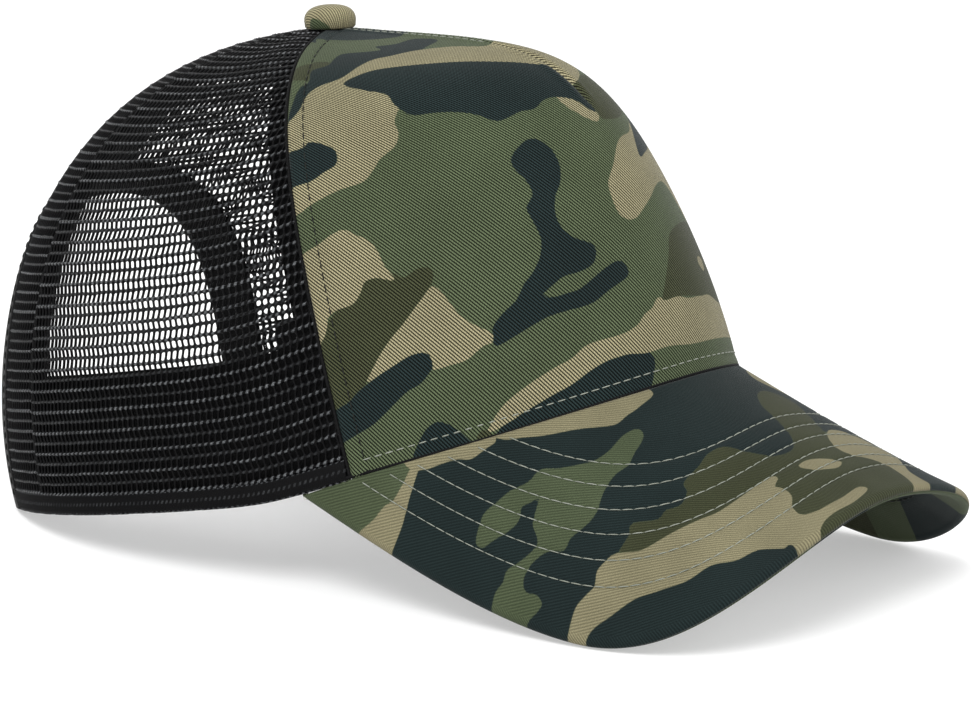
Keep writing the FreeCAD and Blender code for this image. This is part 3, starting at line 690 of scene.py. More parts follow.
BRIM_PRINT = (
    ("green", ((-58, -100), (-58, -50), (-69, -52), (-75, -54), (-79, -56), (-83, -59), (-87, -63),
        (-91, -67), (-98, -70), (-98, -100)), 0),
    ("tan", ((-69, -51), (-75, -52), (-80, -53), (-84, -54), (-91, -57), (-97, -60), (-98, -74),
        (-91, -68), (-86, -63), (-82, -60), (-79, -57), (-75, -55), (-70, -53)), 0),
    ("tan", ((-71, -54), (-69, -49), (-66, -45), (-63, -41), (-61, -37), (-57, -34), (-54, -32),
        (-52, -35), (-60, -46), (-68, -57)), 0),
    ("tan", ((-53, -31), (-50, -26), (-46, -20), (-40, -13), (-36, -8), (-33, -5), (-29, -4), (-25, -3),
        (-18, -3), (-20, -10), (-30, -17), (-42, -26), (-52, -36)), 0),
    ("green", ((-77, -31), (-74, -31), (-70, -30), (-66, -27), (-62, -24), (-58, -20), (-54, -18),
        (-51, -13), (-47, -8), (-44, -5), (-40, -3), (-35, -2), (-31, 0), (-31, 2), (-33, 3), (-37, 3),
        (-41, 3), (-45, 1), (-50, 0), (-55, 0), (-58, -1), (-61, -3), (-64, -5), (-67, -6), (-69, -10),
        (-72, -13), (-75, -15), (-78, -16), (-80, -15), (-79, -12), (-80, -10), (-82, -11), (-86, -14),
        (-94, -17), (-96, -27), (-88, -25), (-84, -24), (-81, -22), (-78, -21), (-74, -17), (-70, -14),
        (-68, -14), (-66, -16), (-63, -16), (-60, -16), (-62, -18), (-64, -20), (-67, -20), (-70, -22),
        (-74, -26), (-77, -29)), 0),
    ("olive", ((-62, 9), (-56, 10), (-53, 10), (-49, 16), (-46, 17), (-43, 20), (-39, 20), (-37, 18),
        (-31, 19), (-26, 19), (-21, 21), (-18, 27), (-14, 32), (-8, 33), (-3, 29), (1, 21), (3, 16),
        (8, 11), (15, 9), (20, 13), (15, 22), (10, 30), (8, 38), (13, 45), (14, 53), (11, 62), (0, 66),
        (-14, 68), (-27, 64), (-31, 54), (-31, 46), (-29, 41), (-29, 37), (-35, 36), (-41, 34), (-50, 25),
        (-57, 18)), 0),
    ("tan", ((-88, -3), (-84, -2), (-79, -1), (-76, 0), (-73, 2), (-70, 4), (-67, 4), (-65, 5), (-62, 7),
        (-60, 10), (-57, 15), (-50, 21), (-44, 26), (-39, 30), (-31, 33), (-22, 35), (-21, 37), (-24, 38),
        (-23, 40), (-24, 43), (-27, 45), (-28, 48), (-25, 50), (-22, 51), (-15, 52), (-7, 52), (-6, 54),
        (-14, 55), (-22, 54), (-27, 54), (-31, 56), (-34, 64), (-44, 62), (-38, 51), (-40, 50), (-44, 44),
        (-49, 40), (-53, 34), (-59, 29), (-64, 22), (-68, 16), (-74, 10), (-79, 5), (-84, 3),
        (-92, 2)), 0),
    ("tan", ((-13, 38), (-8, 38), (-2, 41), (-1, 43), (-5, 44), (-11, 41)), 0),
    ("tan", ((10, 31), (15, 29), (24, 30), (28, 38), (22, 46), (18, 51), (17, 60), (8, 66), (9, 59),
        (12, 53), (12, 46), (5, 40), (6, 35)), 0),
    ("tan", ((31, 60), (36, 51), (46, 46), (56, 40), (56, 58), (36, 68)), 0),
    ("tan", ((20, 2), (28, 6), (34, 2), (42, -4), (38, -12), (26, -6)), 0),
    ("green", ((48, 12), (58, 16), (64, 8), (62, -6), (68, -20), (60, -28), (50, -22), (52, -8),
        (44, 0)), 0),
    ("tan", ((68, 40), (76, 28), (82, 12), (85, -8), (98, -10), (100, 14), (98, 40), (80, 52)), 0),
    ("olive", ((70, -30), (78, -34), (86, -30), (98, -34), (98, -56), (84, -52), (76, -44)), 0),
)

UNDER_PRINT = (
    ("navy", ((44, 25), (60, 21), (75, 19), (98, 17), (98, 36), (84, 37), (72, 42), (60, 46),
        (48, 40)), 0),
    ("olive", ((38, 5), (60, 1), (98, 3), (98, -30), (80, -36), (60, -24), (42, -12)), 0),
    ("navy", ((-20, 40), (0, 30), (16, 36), (14, 50), (-6, 56), (-24, 62), (-34, 52)), 0),
    ("tan", ((-30, 22), (-16, 12), (4, 8), (10, 14), (-6, 20), (-22, 30)), 0),
    ("navy", ((-56, 18), (-44, 6), (-50, -10), (-62, -14), (-74, -2), (-66, 10)), 0),
    ("olive", ((-80, -10), (-70, -26), (-78, -42), (-92, -44), (-98, -20), (-90, -6)), 0),
)

BUTTON_PRINT = (
    ("green", ((-8, 1), (-8, -2), (-8, -4), (-8, -6), (-9, -8), (-12, -7), (-13, 0), (-11, 3)), 0),
    ("olive", ((6, 9), (8, 4), (13, 6), (9, 13)), 0),
)

FAR, OUTLINE_STEPS = 9.0, 5


def rounded_outline(points):
    """A closed smooth line through given points."""
    b = np.array(points, float)
    a, c, d = np.roll(b, 1, axis=0), np.roll(b, -1, axis=0), np.roll(b, -2, axis=0)
    line = []
    for s in np.arange(OUTLINE_STEPS) / OUTLINE_STEPS:
        bend = (2 * a - 5 * b + 4 * c - d) * s ** 2 + (3 * b - a - 3 * c + d) * s ** 3
        line.append(0.5 * (2 * b + (c - a) * s + bend))
    return np.stack(line, 1).reshape(-1, 2)


def inside_by(places, outline):
    """Millimetres inside (+) or outside (-) an outline, within FAR of it."""
    result = np.full(len(places), -FAR)
    near = ((places > outline.min(0) - FAR) & (places < outline.max(0) + FAR)).all(axis=1)
    p = places[near][:, None, :]
    a, b = outline[None], np.roll(outline, -1, axis=0)[None]
    ab = b - a
    along = np.clip(((p - a) * ab).sum(-1) / ((ab * ab).sum(-1) + 1e-9), 0.0, 1.0)
    gap = np.sqrt((((p - a) - ab * along[..., None]) ** 2).sum(-1)).min(1)
    rising = (a[..., 1] > p[..., 1]) != (b[..., 1] > p[..., 1])
    slope = ab[..., 0] / np.where(np.abs(ab[..., 1]) < 1e-9, 1e-9, ab[..., 1])
    left_of = p[..., 0] < a[..., 0] + slope * (p[..., 1] - a[..., 1])
    inside = (rising & left_of).sum(1) % 2 == 1
    result[near] = np.clip(np.where(inside, gap, -gap), -FAR, FAR)
    return result


def print_cloth(piece, places, shapes, ground):
    """Give each colour's distance inside its edge to every vertex of a piece."""
    fields = {colour: np.full(len(places), -FAR) for colour in CAMO}
    fields[ground][:] = FAR
    for colour, outline, side in shapes:
        reach = inside_by(places, rounded_outline(outline))
        if side:
            reach = np.minimum(reach, side * places[:, 0])
        for other in fields:
            over = np.maximum(fields[other], reach)
            fields[other] = over if other == colour else np.minimum(fields[other], -reach)
    for colour in PRINTED:
        give(piece, colour, fields[colour])


# ---- front panel ----

FRONT_COLUMNS, FRONT_ROWS = 201, 161
DART_END, DART_STITCHED_FROM = 69.0, 107.0
TOPSTITCH_IN, BRIM_STITCH_UP = 4.7, 4.2
PANEL_SKIN, SEAM_ROLL = 0.72, 1.3
GROOVE_DEPTH, GROOVE_WIDTH = 0.28, 0.55
DART_RIDGE, DART_WIDTH, DART_FLANK = 0.9, 0.55, 2.2
DART_STITCH_OUT = 1.7
SIDES = ((1, "right"), (-1, "left"))


def seam_angle(angles, t):
    return np.radians(lerp(angles[0], angles[1], t))


SEAMS = {
    "front_right": lambda t: seam_angle(FRONT_SEAM, t),
    "front_left": lambda t: 2.0 * math.pi - seam_angle(FRONT_SEAM, t),
    "rear_right": lambda t: seam_angle(REAR_SEAM, t),
    "rear_left": lambda t: 2.0 * math.pi - seam_angle(REAR_SEAM, t),
    "back": lambda t: np.full_like(t, math.pi),
}


def arc_up(angle_at):
    """Cloth millimetres up a line of the crown, at each of many shares t."""
    t = np.linspace(0.0, 1.0, 601)
    return t, run_along(crown(angle_at(t), t))


CENTRE_T, CENTRE_UP = arc_up(np.zeros_like)


def across_from(theta, t, middle_column):
    """Cloth millimetres along each level line, from one column of a grid."""
    run = run_along(crown(theta, t))
    return run - run[middle_column]


def near_edge(distance, width):
    """1 at an edge, easing to 0 at a width from it."""
    return smooth(1.0 - distance / width)


def bell(distance, width):
    """1 at a line, falling away to both sides of it."""
    return np.exp(-(distance / width) ** 2)


def front_cloth():
    """The front panel's cloth: rolled at its seams, grooved under its stitches, with a dart."""
    share = np.linspace(-1.0, 1.0, FRONT_COLUMNS)[:, None]
    t = np.linspace(0.0, PANEL_TOP, FRONT_ROWS)[None, :]
    theta = share * (seam_angle(FRONT_SEAM, t) - math.radians(0.2))
    theta, t = np.broadcast_arrays(theta, t)
    across = across_from(theta, t, FRONT_COLUMNS // 2)
    up = np.interp(t, CENTRE_T, CENTRE_UP)
    edge = np.minimum(across[-1][None, :] - across, across - across[0][None, :])
    dart = smooth((up - DART_END) / 10.0)
    depth = 0.75 * near_edge(edge, SEAM_ROLL) ** 2 + 0.3 * near_edge(up, SEAM_ROLL) ** 2
    depth += GROOVE_DEPTH * bell(edge - TOPSTITCH_IN, GROOVE_WIDTH)
    depth -= 0.25 * smooth(edge / 1.5) * near_edge(edge, TOPSTITCH_IN)
    depth += GROOVE_DEPTH * bell(up - BRIM_STITCH_UP, GROOVE_WIDTH)
    depth -= 0.22 * smooth(up / 1.5) * near_edge(up, BRIM_STITCH_UP)
    crease = DART_RIDGE * bell(across, DART_WIDTH) - 0.35 * bell(np.abs(across) - DART_FLANK, 1.1)
    depth += dart * crease
    depth += 0.12 * np.sin(up / 9.0 + 0.7 * np.sin(across / 23.0)) * np.sin(across / 13.0)
    piece = slab("front_panel_cloth", sunk(crown, theta, t, depth), sunk(crown, theta, t, PANEL_SKIN))
    places = np.tile(pairs(across, up).reshape(-1, 2), (2, 1))
    dress(piece, places, PANEL_CLOTH, "front_panel")
    print_cloth(piece, places, CROWN_PRINT, "green")


def front_stitching():
    t = np.linspace(0.02, 0.96, 400)
    edge = seam_angle(FRONT_SEAM, t)
    for side, word in SIDES:
        path, out = line_on(crown, side * (edge - TOPSTITCH_IN / per_radian(edge, t)), t, 0.2)
        stitches("topstitch_front_" + word, path, out, TOPSTITCH, DARK_THREAD)
    theta = np.radians(np.linspace(FRONT_SEAM[0] - 2.2, 2.2 - FRONT_SEAM[0], 400))
    path, out = line_on(crown, theta, np.interp(BRIM_STITCH_UP, CENTRE_UP, CENTRE_T), 0.16)
    stitches("topstitch_brim_seam", path, out, RIM_STITCH, LIGHT_THREAD)
    up = np.linspace(DART_STITCHED_FROM, CENTRE_UP[-1] * 0.955, 300)
    t = np.interp(up, CENTRE_UP, CENTRE_T)
    aside = DART_STITCH_OUT / per_radian(np.zeros_like(t), t)
    for side, word in SIDES:
        for lean, turn in ((0.8, "over"), (-0.8, "back")):
            path, out = line_on(crown, side * aside, t, -0.22)
            name = "dart_stitches_%s_%s" % (word, turn)
            stitches(name, path, out, DART_STITCH, LIGHT_THREAD, lean)


# ---- net panels ----

NET_LEAN, NET_WOBBLE = 0.15, 0.07
NET_HOLE, NET_ROW_HEIGHTS = 0.69, (1.1, 0.94)
NET_BAR, NET_HOLE_DEPTH, NET_DEPTH = 0.22, 0.42, 0.85
NET_PAST_SEAM, NET_MERGE = 0.6, 0.02
NET_RING = ((-1, -1), (-0.34, -1), (0.34, -1), (1, -1), (1, -0.34), (1, 0.34),
            (1, 1), (0.34, 1), (-0.34, 1), (-1, 1), (-1, 0.34), (-1, -0.34))
ARCH_HOLD = 5.0


def arch_reach(x, height):
    """Below 1 inside the rear arch's outline, grown by ARCH_HOLD."""
    wide = np.abs(x / (ARCH_HALF_WIDTH + ARCH_HOLD)) ** ARCH_POWER
    tall = np.abs(height / (ARCH_HEIGHT + ARCH_HOLD)) ** ARCH_POWER
    return wide + tall


class PanelMap:
    """Cloth millimetres on a mesh panel, turned into places on the crown."""

    def __init__(self, left, right):
        def middle(t):
            return 0.5 * (left(t) + right(t))

        self.t, self.up = arc_up(middle)
        keep = self.t <= PANEL_TOP
        self.t, self.up = self.t[keep], self.up[keep]
        spread = np.linspace(-1.0, 1.0, 241)[:, None]
        rows = self.t[None, :]
        self.theta = middle(rows) + spread * 0.5 * (right(rows) - left(rows))
        self.across = across_from(self.theta, np.broadcast_to(rows, self.theta.shape), 120)
        self.low, self.high = self.across[0], self.across[-1]
        self.height = self.up[-1]

    def place(self, x, y):
        """theta and t at cloth x, y; x is held within the panel's seams."""
        row = np.interp(y, self.up, np.arange(len(self.up)))
        first = np.minimum(row.astype(int), len(self.up) - 2)
        share = row - first
        x = np.clip(x, np.interp(y, self.up, self.low), np.interp(y, self.up, self.high))
        theta = np.zeros_like(x)
        for k in (0, 1):
            weight = share if k else 1.0 - share
            for column in np.unique(first + k):
                at = first + k == column
                level = np.interp(x[at], self.across[:, column], self.theta[:, column])
                theta[at] += weight[at] * level
        return theta, np.interp(y, self.up, self.t), x


def net(name, node, left, right, cut_arch, seed):
    """An open net: each cell is four rings, from its outer face down through its hole."""
    area = PanelMap(left, right)
    rows = int(area.height / NET_ROW)
    reach = int(max(-area.low.min(), area.high.max()) / NET_COLUMN) + 2
    column, row = np.meshgrid(np.arange(-reach, reach), np.arange(rows), indexing="ij")
    column, row = column.ravel(), row.ravel()
    rng = np.random.default_rng(seed)
    jitter = rng.normal(0.0, NET_WOBBLE, (2 * reach + 2, rows + 2, 2))

    def corner(i, k):
        lean = NET_LEAN * NET_COLUMN * np.where(k % 2 == 0, 1.0, -1.0)
        return np.stack([i * NET_COLUMN + lean, k * NET_ROW], -1) + jitter[i + reach, k]

    corners = [corner(column + i, row + k) for i, k in ((0, 0), (1, 0), (1, 1), (0, 1))]
    x, y = (sum(corners) / 4.0).T
    inside = x > np.interp(y, area.up, area.low) - NET_PAST_SEAM
    inside &= x < np.interp(y, area.up, area.high) + NET_PAST_SEAM
    if cut_arch:
        theta, t, _ = area.place(x, y)
        spot = crown(theta, t)
        inside &= arch_reach(spot[:, 0], spot[:, 2]) > 1.0
    corners = [c[inside] for c in corners]
    even = row[inside][:, None] % 2 == 0
    edge = np.array(NET_RING, float)
    size = (np.abs(edge[:, 0]) ** 3 + np.abs(edge[:, 1]) ** 3) ** (1 / 3)
    hole = edge / size[:, None] * NET_HOLE
    bright = np.where(even, edge[:, 1] < 0, edge[:, 1] > 0)
    bar = (np.abs(edge[:, 1]) > 0.9) * (1.4 - np.abs(edge[:, 0]))
    raised = NET_BAR * bar * np.where(bright, 1.0, 0.25)
    low, back = np.full_like(raised, NET_HOLE_DEPTH), np.full_like(raised, NET_DEPTH)
    depth = np.stack([-raised, 0.10 - 0.5 * raised, low, back], 1)
    flat = []
    for ring in (edge, 0.5 * (edge + hole), hole, edge):
        tall = np.where(even, *NET_ROW_HEIGHTS) if ring is hole else 1.0
        a, b = np.broadcast_arrays(ring[:, 0], ring[:, 1] * tall)
        weights = ((1 - a) * (1 - b), (1 + a) * (1 - b), (1 + a) * (1 + b), (1 - a) * (1 + b))
        flat.append(sum(w[..., None] * c[:, None, :] for w, c in zip(weights, corners)) / 4.0)
    flat = np.stack(flat, 1).reshape(-1, 2)
    theta, t, x = area.place(flat[:, 0], np.clip(flat[:, 1], 0.0, area.height))
    points = sunk(crown, theta, t, depth.ravel())
    index = np.arange(depth.size).reshape(depth.shape)
    faces = np.concatenate([ring_walls(index[:, k:k + 2]) for k in range(3)])
    # neighbouring cells share their corners, and faces that this folds flat go
    spots = np.round(points / NET_MERGE).astype(int)
    _, first, same = np.unique(spots, axis=0, return_index=True, return_inverse=True)
    faces = same.ravel()[faces]
    spread = np.sort(faces, axis=1)
    _, which, shared = np.unique(spread, axis=0, return_inverse=True, return_counts=True)
    whole = (np.diff(spread, axis=1) > 0).all(axis=1) & (shared[which.ravel()] == 1)
    piece = make_mesh(name, placed(points[first]), [faces[whole]])
    dress(piece, pairs(x, flat[:, 1])[first], NET, node)


def net_panels():
    """The four nets, each between two seams, with a seed of its own."""
    panels = (
        ("side", "right", "front_right", "rear_right", 11),
        ("side", "left", "rear_left", "front_left", 12),
        ("back", "right", "rear_right", "back", 13),
        ("back", "left", "back", "rear_left", 14),
    )
    for place, side, low, high, seed in panels:
        net("%s_net_%s" % (place, side), "%s_mesh_%s" % (place, side), SEAMS[low], SEAMS[high],
            place == "back", seed)


# ---- brim ----

BRIM_COLUMNS, BRIM_ROWS = 281, 121
ROW_INSETS = [11.0 + 5.1 * k for k in range(6)]
EDGE_ROUND, SKIN, STITCH_SINK = 1.45, 0.65, 0.16


def brim_grid(inset):
    """Places on the sheet from the root to an inset inside the free edge, closer there."""
    root = brim_root(BRIM_COLUMNS - 1, COVER_GAP)
    front = brim_edge(inset, BRIM_COLUMNS - 1)
    share = np.linspace(0.0, 1.0, BRIM_ROWS)[None, :, None]
    share = 1.0 - (1.0 - share) ** 1.25
    return root[:, None, :] + (front - root)[:, None, :] * share


def brim_cloth(name, node, material, shapes, ground, under):
    """One of the brim's two covers, rolled over at the free edge."""
    outer, inner = brim_grid(0.0), brim_grid(1.0)
    u, v = outer[..., 0], outer[..., 1]
    inset = np.maximum(brim_inset(u, v), 0.0)
    across = np.clip(inset, 0.0, EDGE_ROUND)
    rolled = EDGE_ROUND - np.sqrt(np.maximum(EDGE_ROUND ** 2 - (EDGE_ROUND - across) ** 2, 0.0))
    grooves = sum(bell(inset - row, 0.6) for row in ROW_INSETS)
    behind = smooth((v - root_v(u)) / 3.0)
    puff = 0.07 * np.sin(u / 2.3 + 0.8 * np.sin(v / 3.7)) * bell(inset - 8.0, 7.0)
    depth, skin = rolled + (0.26 * grooves + puff) * behind * (inset > EDGE_ROUND), SKIN
    if under:
        depth, skin = BRIM_THICKNESS - depth, BRIM_THICKNESS - skin
    low = sunk(brim_sheet, inner[..., 0], inner[..., 1], skin)
    piece = slab(name, sunk(brim_sheet, u, v, depth), low)
    places = np.concatenate([outer.reshape(-1, 2), inner.reshape(-1, 2)])
    dress(piece, places, material, node)
    print_cloth(piece, places, shapes, ground)
    along = np.broadcast_to(run_along(brim_edge(0.0, BRIM_COLUMNS - 1))[:, None], u.shape)
    edge = np.stack([along, inset, np.zeros_like(inset)], -1)
    give(piece, "edge", np.concatenate([edge, edge]), "FLOAT_VECTOR")


def brim_rows():
    """The rows of stitching that follow the brim's free edge."""
    for k, inset in enumerate(ROW_INSETS):
        line = brim_edge(inset, 700)
        u, v = line[line[:, 1] > root_v(line[:, 0]) + 1.0].T
        path, out = line_on(brim_sheet, u, v, STITCH_SINK)
        stitches("brim_row_top_%d" % (k + 1), path, out, ROW_STITCH, LIGHT_THREAD)
        path, out = line_on(brim_sheet, u, v, BRIM_THICKNESS - STITCH_SINK)
        stitches("brim_row_under_%d" % (k + 1), path, -out, UNDER_STITCH, DARK_THREAD)


# ---- inside the crown: backing, tapes and sweatband ----

SEAM_FOOT, SEAM_TOP = 0.004, 0.975
BAND_STITCH_UP = 5.0


def strip(name, node, slot, material, theta, t, outer, inner):
    """A closed strip on the crown between two depths, thinner at its two long edges."""
    theta, t = np.broadcast_arrays(theta, t)
    rounded = np.zeros((len(theta), 1))
    rounded[[0, -1]] = 0.3 * (inner - outer)
    piece = slab(name, sunk(crown, theta, t, outer + rounded), sunk(crown, theta, t, inner - rounded))
    middle = len(theta) // 2
    across = across_from(theta, t, middle)
    places = pairs(across, run_along(crown(theta[middle], t[middle])))
    dress(piece, [places, places], material, node)


def backing():
    share = np.linspace(-1.0, 1.0, 97)[:, None]
    t = np.linspace(0.0, PANEL_TOP, 81)[None, :]
    theta = share * (seam_angle(FRONT_SEAM, t) - math.radians(0.3))
    strip("front_backing", "front_stiffener", "stiffener", BACKING, theta, t, 0.8, 1.6)


def seam_strip(word, node, middle, low_t):
    """The tape inside a seam, with a row of stitches near each of its edges."""
    t = np.linspace(low_t, TAPE_TOP, 121)[None, :]
    centre = middle(t)
    half = np.minimum(0.5 * TAPE_WIDTH / per_radian(centre, t), math.radians(TAPE_FAN))
    theta = centre + np.linspace(-1.0, 1.0, 13)[:, None] * half
    strip(word, node, "black_tape", TAPE, theta, t, *TAPE_DEPTH)
    for side, edge in ((-1, "a"), (1, "b")):
        line = centre[0] + side * 0.72 * half[0]
        path, out = line_on(crown, line, t[0], TAPE_DEPTH[1] + 0.02)
        stitches("%s_stitches_%s" % (word, edge), path, -out, TAPE_STITCH, DARK_THREAD)


def tapes():
    for word in ("front_right", "front_left", "rear_right", "rear_left"):
        seam_strip("seam_tape_" + word, word.replace("_", "_tape_"), SEAMS[word], SEAM_FOOT)
    t = np.linspace(0.3, 0.9, 601)
    high = crown(SEAMS["back"](t), t)[:, 2]
    start = np.interp(ARCH_HEIGHT + BINDING_WIDTH + 0.4, high, t)
    seam_strip("seam_tape_back", "back_tape", SEAMS["back"], start)


def sweatband():
    """The folded band inside the rim."""
    rise = np.linspace(0.0, 1.0, 25)
    up = np.concatenate([rise, rise[::-1]])
    face = np.repeat((0.0, 1.0), 25)
    theta = np.linspace(-SWEATBAND_END, SWEATBAND_END, 261)[:, None]
    ends = np.minimum(1.0, 64.0 * up * (1.0 - up)) ** 0.5
    thick = SWEATBAND_DEPTH[1] - SWEATBAND_DEPTH[0]
    groove = 0.16 * bell(up * SWEATBAND_HEIGHT - BAND_STITCH_UP, 0.7) * face
    depth = SWEATBAND_DEPTH[0] + thick * (0.5 + (face - 0.5) * ends) - groove
    height = rim_height(theta) + SWEATBAND_LIFT + SWEATBAND_HEIGHT * up
    theta = np.broadcast_to(theta, height.shape)
    crease = 0.12 * np.sin(theta * 34.0 + 2.0 * np.sin(theta * 7.0)) * face * np.sin(up * math.pi)
    loops = sunk(at_height, theta, height, depth - crease)
    places = pairs(run_along(loops[:, 0])[:, None], SWEATBAND_HEIGHT * up)
    dress(swept("sweatband_cloth", loops), places, BAND, "sweatband")
    line = np.linspace(-SWEATBAND_END + 0.02, SWEATBAND_END - 0.02, 900)
    level = rim_height(line) + SWEATBAND_LIFT + BAND_STITCH_UP
    path, out = line_on(at_height, line, level, SWEATBAND_DEPTH[1] - 0.12)
    stitches("sweatband_stitches", path, -out, BAND_STITCH, DARK_THREAD)


# ---- rear arch ----


def arch_line(count, out):
    """A superellipse round the rear opening, from the wearer's right to the left."""
    angle = np.linspace(0.0, math.pi, 1601)
    x = -np.sign(np.cos(angle)) * np.abs(np.cos(angle)) ** (2.0 / ARCH_POWER) * (ARCH_HALF_WIDTH + out)
    z = np.sin(angle) ** (2.0 / ARCH_POWER) * (ARCH_HEIGHT + out)
    return evenly(np.stack([x, z], -1), count)


def theta_at_x(x, height):
    """The back angle whose place at a height has the given x."""
    low, high = np.full_like(x, math.radians(95.0)), np.full_like(x, math.radians(265.0))
    return halved(low, high, lambda theta: at_height(theta, height)[..., 0] < x, 34)


BINDING_CORNERS = (
    (0.0, 0.35), (0.12, 0.05), (0.5, -0.35), (1.0, -0.4), (BINDING_WIDTH - 1.0, -0.4),
    (BINDING_WIDTH - 0.1, -0.25), (BINDING_WIDTH, 0.3), (BINDING_WIDTH, 0.9),
    (BINDING_WIDTH - 0.1, 1.45), (BINDING_WIDTH - 1.0, 1.6), (1.0, 1.6), (0.5, 1.55),
    (0.12, 1.15), (0.0, 0.85),
)


def arch_binding():
    """A soft tube of tape folded over the net's cut edge, with its stitching."""
    section = []
    for a, b in zip(BINDING_CORNERS, BINDING_CORNERS[1:] + BINDING_CORNERS[:1]):
        steps = 8 if abs(b[0] - a[0]) > 2.0 else 1
        section += [(lerp(a[0], b[0], k / steps), lerp(a[1], b[1], k / steps)) for k in range(steps)]
    loops = []
    for out, depth in section:
        x, z = arch_line(300, out + 0.05).T
        z = np.maximum(z, 0.05)
        if depth < 0.3 and 2.0 < out < BINDING_WIDTH - 2.0:
            depth -= 0.1 * math.sin(math.pi * (out - 2.0) / (BINDING_WIDTH - 4.0))
        loops.append(sunk(at_height, theta_at_x(x, z), z, depth))
    loops = np.stack(loops, 1)
    places = pairs(run_along(loops[:, 0])[:, None], np.array(section)[:, 0])
    dress(swept("arch_binding_tape", loops), places, BINDING, "arch_binding")
    x, z = arch_line(600, BINDING_WIDTH - 1.4)[8:-8].T
    for face, depth, turn in (("outer", -0.47, 1.0), ("inner", 1.62, -1.0)):
        path, out = line_on(at_height, theta_at_x(x, z), z, depth)
        stitches("binding_stitches_" + face, path, turn * out, BINDING_STITCH, DARK_THREAD)


# ---- seams on the outside ----


def roll(name, path, out, wide, deep):
    """A slim rounded cord of black cloth along a path."""
    along = np.gradient(path, axis=0)
    along /= np.linalg.norm(along, axis=1, keepdims=True)
    side = np.cross(along, out)
    angle = full_turn(10)
    loops = path[:, None] + out[:, None] * (deep * np.cos(angle))[:, None]
    loops = loops + side[:, None] * (wide * np.sin(angle))[:, None]
    dress(swept(name, loops), pairs(run_along(path)[:, None], angle), TAPE)


def crown_seams():
    """The rolled joins between panels, and a dark cord where the brim is sewn on: painted shade for the
    shadow in that fold, which also closes the gap between crown and brim.
    """
    t = np.linspace(SEAM_FOOT, SEAM_TOP, 260)
    for word in ("front_right", "front_left", "rear_right", "rear_left"):
        roll("seam_" + word, *line_on(crown, SEAMS[word](t), t, 0.5), 0.45, 0.5)
    high = crown(SEAMS["back"](t), t)[:, 2]
    t = np.linspace(np.interp(ARCH_HEIGHT + BINDING_WIDTH, high, t), SEAM_TOP, 90)
    roll("seam_back", *line_on(crown, SEAMS["back"](t), t, 0.5), 0.75, 0.62)
    theta = np.radians(np.linspace(-BRIM_ROOT_ANGLE, BRIM_ROOT_ANGLE, 300))
    # painted shade: a dark cord in the fold where the crown meets the brim stands in for the shadow line
    # there
    roll("brim_fold_shadow_cord", *line_on(crown, theta, 0.0045, 0.22), 0.45, 0.45)


HEM_UP = np.array((0.0, 0.2, 0.9, 2.2, 3.6, 4.6, 5.0, 5.2, 5.0, 3.4, 1.4, 0.2))
HEM_DEPTH = np.array((0.75, 0.1, -0.28, -0.34, -0.34, -0.28, -0.1, 0.4, 1.0, 1.45, 1.45, 1.2))


def net_hems():
    """The net's folded lower hem, ribbed by its yarns, from seam to seam."""
    first = math.radians(FRONT_SEAM[0] + 0.5)
    foot = theta_at_x(np.array([1.0 - ARCH_HALF_WIDTH - BINDING_WIDTH]), np.array([2.0]))[0]
    right = np.linspace(first, foot, 520)[:, None]
    rib = 0.10 * np.cos(np.arange(len(right)) * math.pi)[:, None] * (HEM_DEPTH < 0.5)
    for name, theta in (("hem_right", right), ("hem_left", 2.0 * math.pi - right)):
        height = rim_height(theta) + HEM_UP + 0.02
        loops = sunk(at_height, np.broadcast_to(theta, height.shape), height, HEM_DEPTH + rib)
        dress(swept(name, loops), pairs(run_along(loops[:, 3])[:, None], HEM_UP), NET)


# ---- button ----


def button():
    """The cloth-covered button: a dome with soft gathers round its edge."""
    turns, rings = 96, 30
    angle = full_turn(turns)
    ring = np.stack([np.cos(angle), np.sin(angle)], -1)
    share = np.linspace(0.0, 1.0, rings)
    poles = ((BUTTON_RADIUS, 0.25), (BUTTON_RADIUS, 0.8), (0.6 * BUTTON_RADIUS, 1.0), (0.0, 1.0))
    weight = ((1 - share) ** 3, 3 * share * (1 - share) ** 2, 3 * share ** 2 * (1 - share), share ** 3)
    reach = sum(w * p[0] for w, p in zip(weight, poles))
    rise = sum(w * p[1] for w, p in zip(weight, poles)) * BUTTON_HEIGHT
    outer = [(BUTTON_RADIUS - 0.6, -0.7), (BUTTON_RADIUS - 0.15, -0.2)] + list(zip(reach, rise))[:-1]
    rows = []
    for radius, height in outer:
        gather = 0.10 * np.cos(angle * 16.0 + 1.3 * np.sin(angle * 3.0)) * smooth(radius / BUTTON_RADIUS)
        gather = gather * smooth(1.2 - height / BUTTON_HEIGHT)
        rows.append(np.column_stack([(radius + gather)[:, None] * ring, np.full(turns, height)]))
    points = np.concatenate(rows + [np.array([[0.0, 0.0, BUTTON_HEIGHT], [0.0, 0.0, 0.0]])])
    index = np.arange(len(rows) * turns).reshape(len(rows), turns)
    turned_on = np.roll(index, -1, axis=1)
    crest, foot = len(points) - 2, len(points) - 1
    cap = np.stack([index[-1], turned_on[-1], np.full(turns, crest)], 1)
    base = np.stack([turned_on[0], index[0], np.full(turns, foot)], 1)
    x, y, z = points.T
    z = z + BUTTON_SEAT
    c, s = math.cos(BUTTON_LEAN), math.sin(BUTTON_LEAN)
    moved = np.stack([x, y * c - z * s + APEX_Y, y * s + z * c + CROWN_HEIGHT], -1)
    piece = make_mesh("button_cloth", placed(moved), [ring_walls(index), cap, base])
    run = run_along(np.array(outer)[::-1])[::-1] + outer[-1][0]
    places = np.concatenate([(run[:, None, None] * ring[None]).reshape(-1, 2), np.zeros((2, 2))])
    dress(piece, places, BUTTON_CLOTH, "button_cover")
    print_cloth(piece, places, BUTTON_PRINT, "tan")


# ---- the cap ----

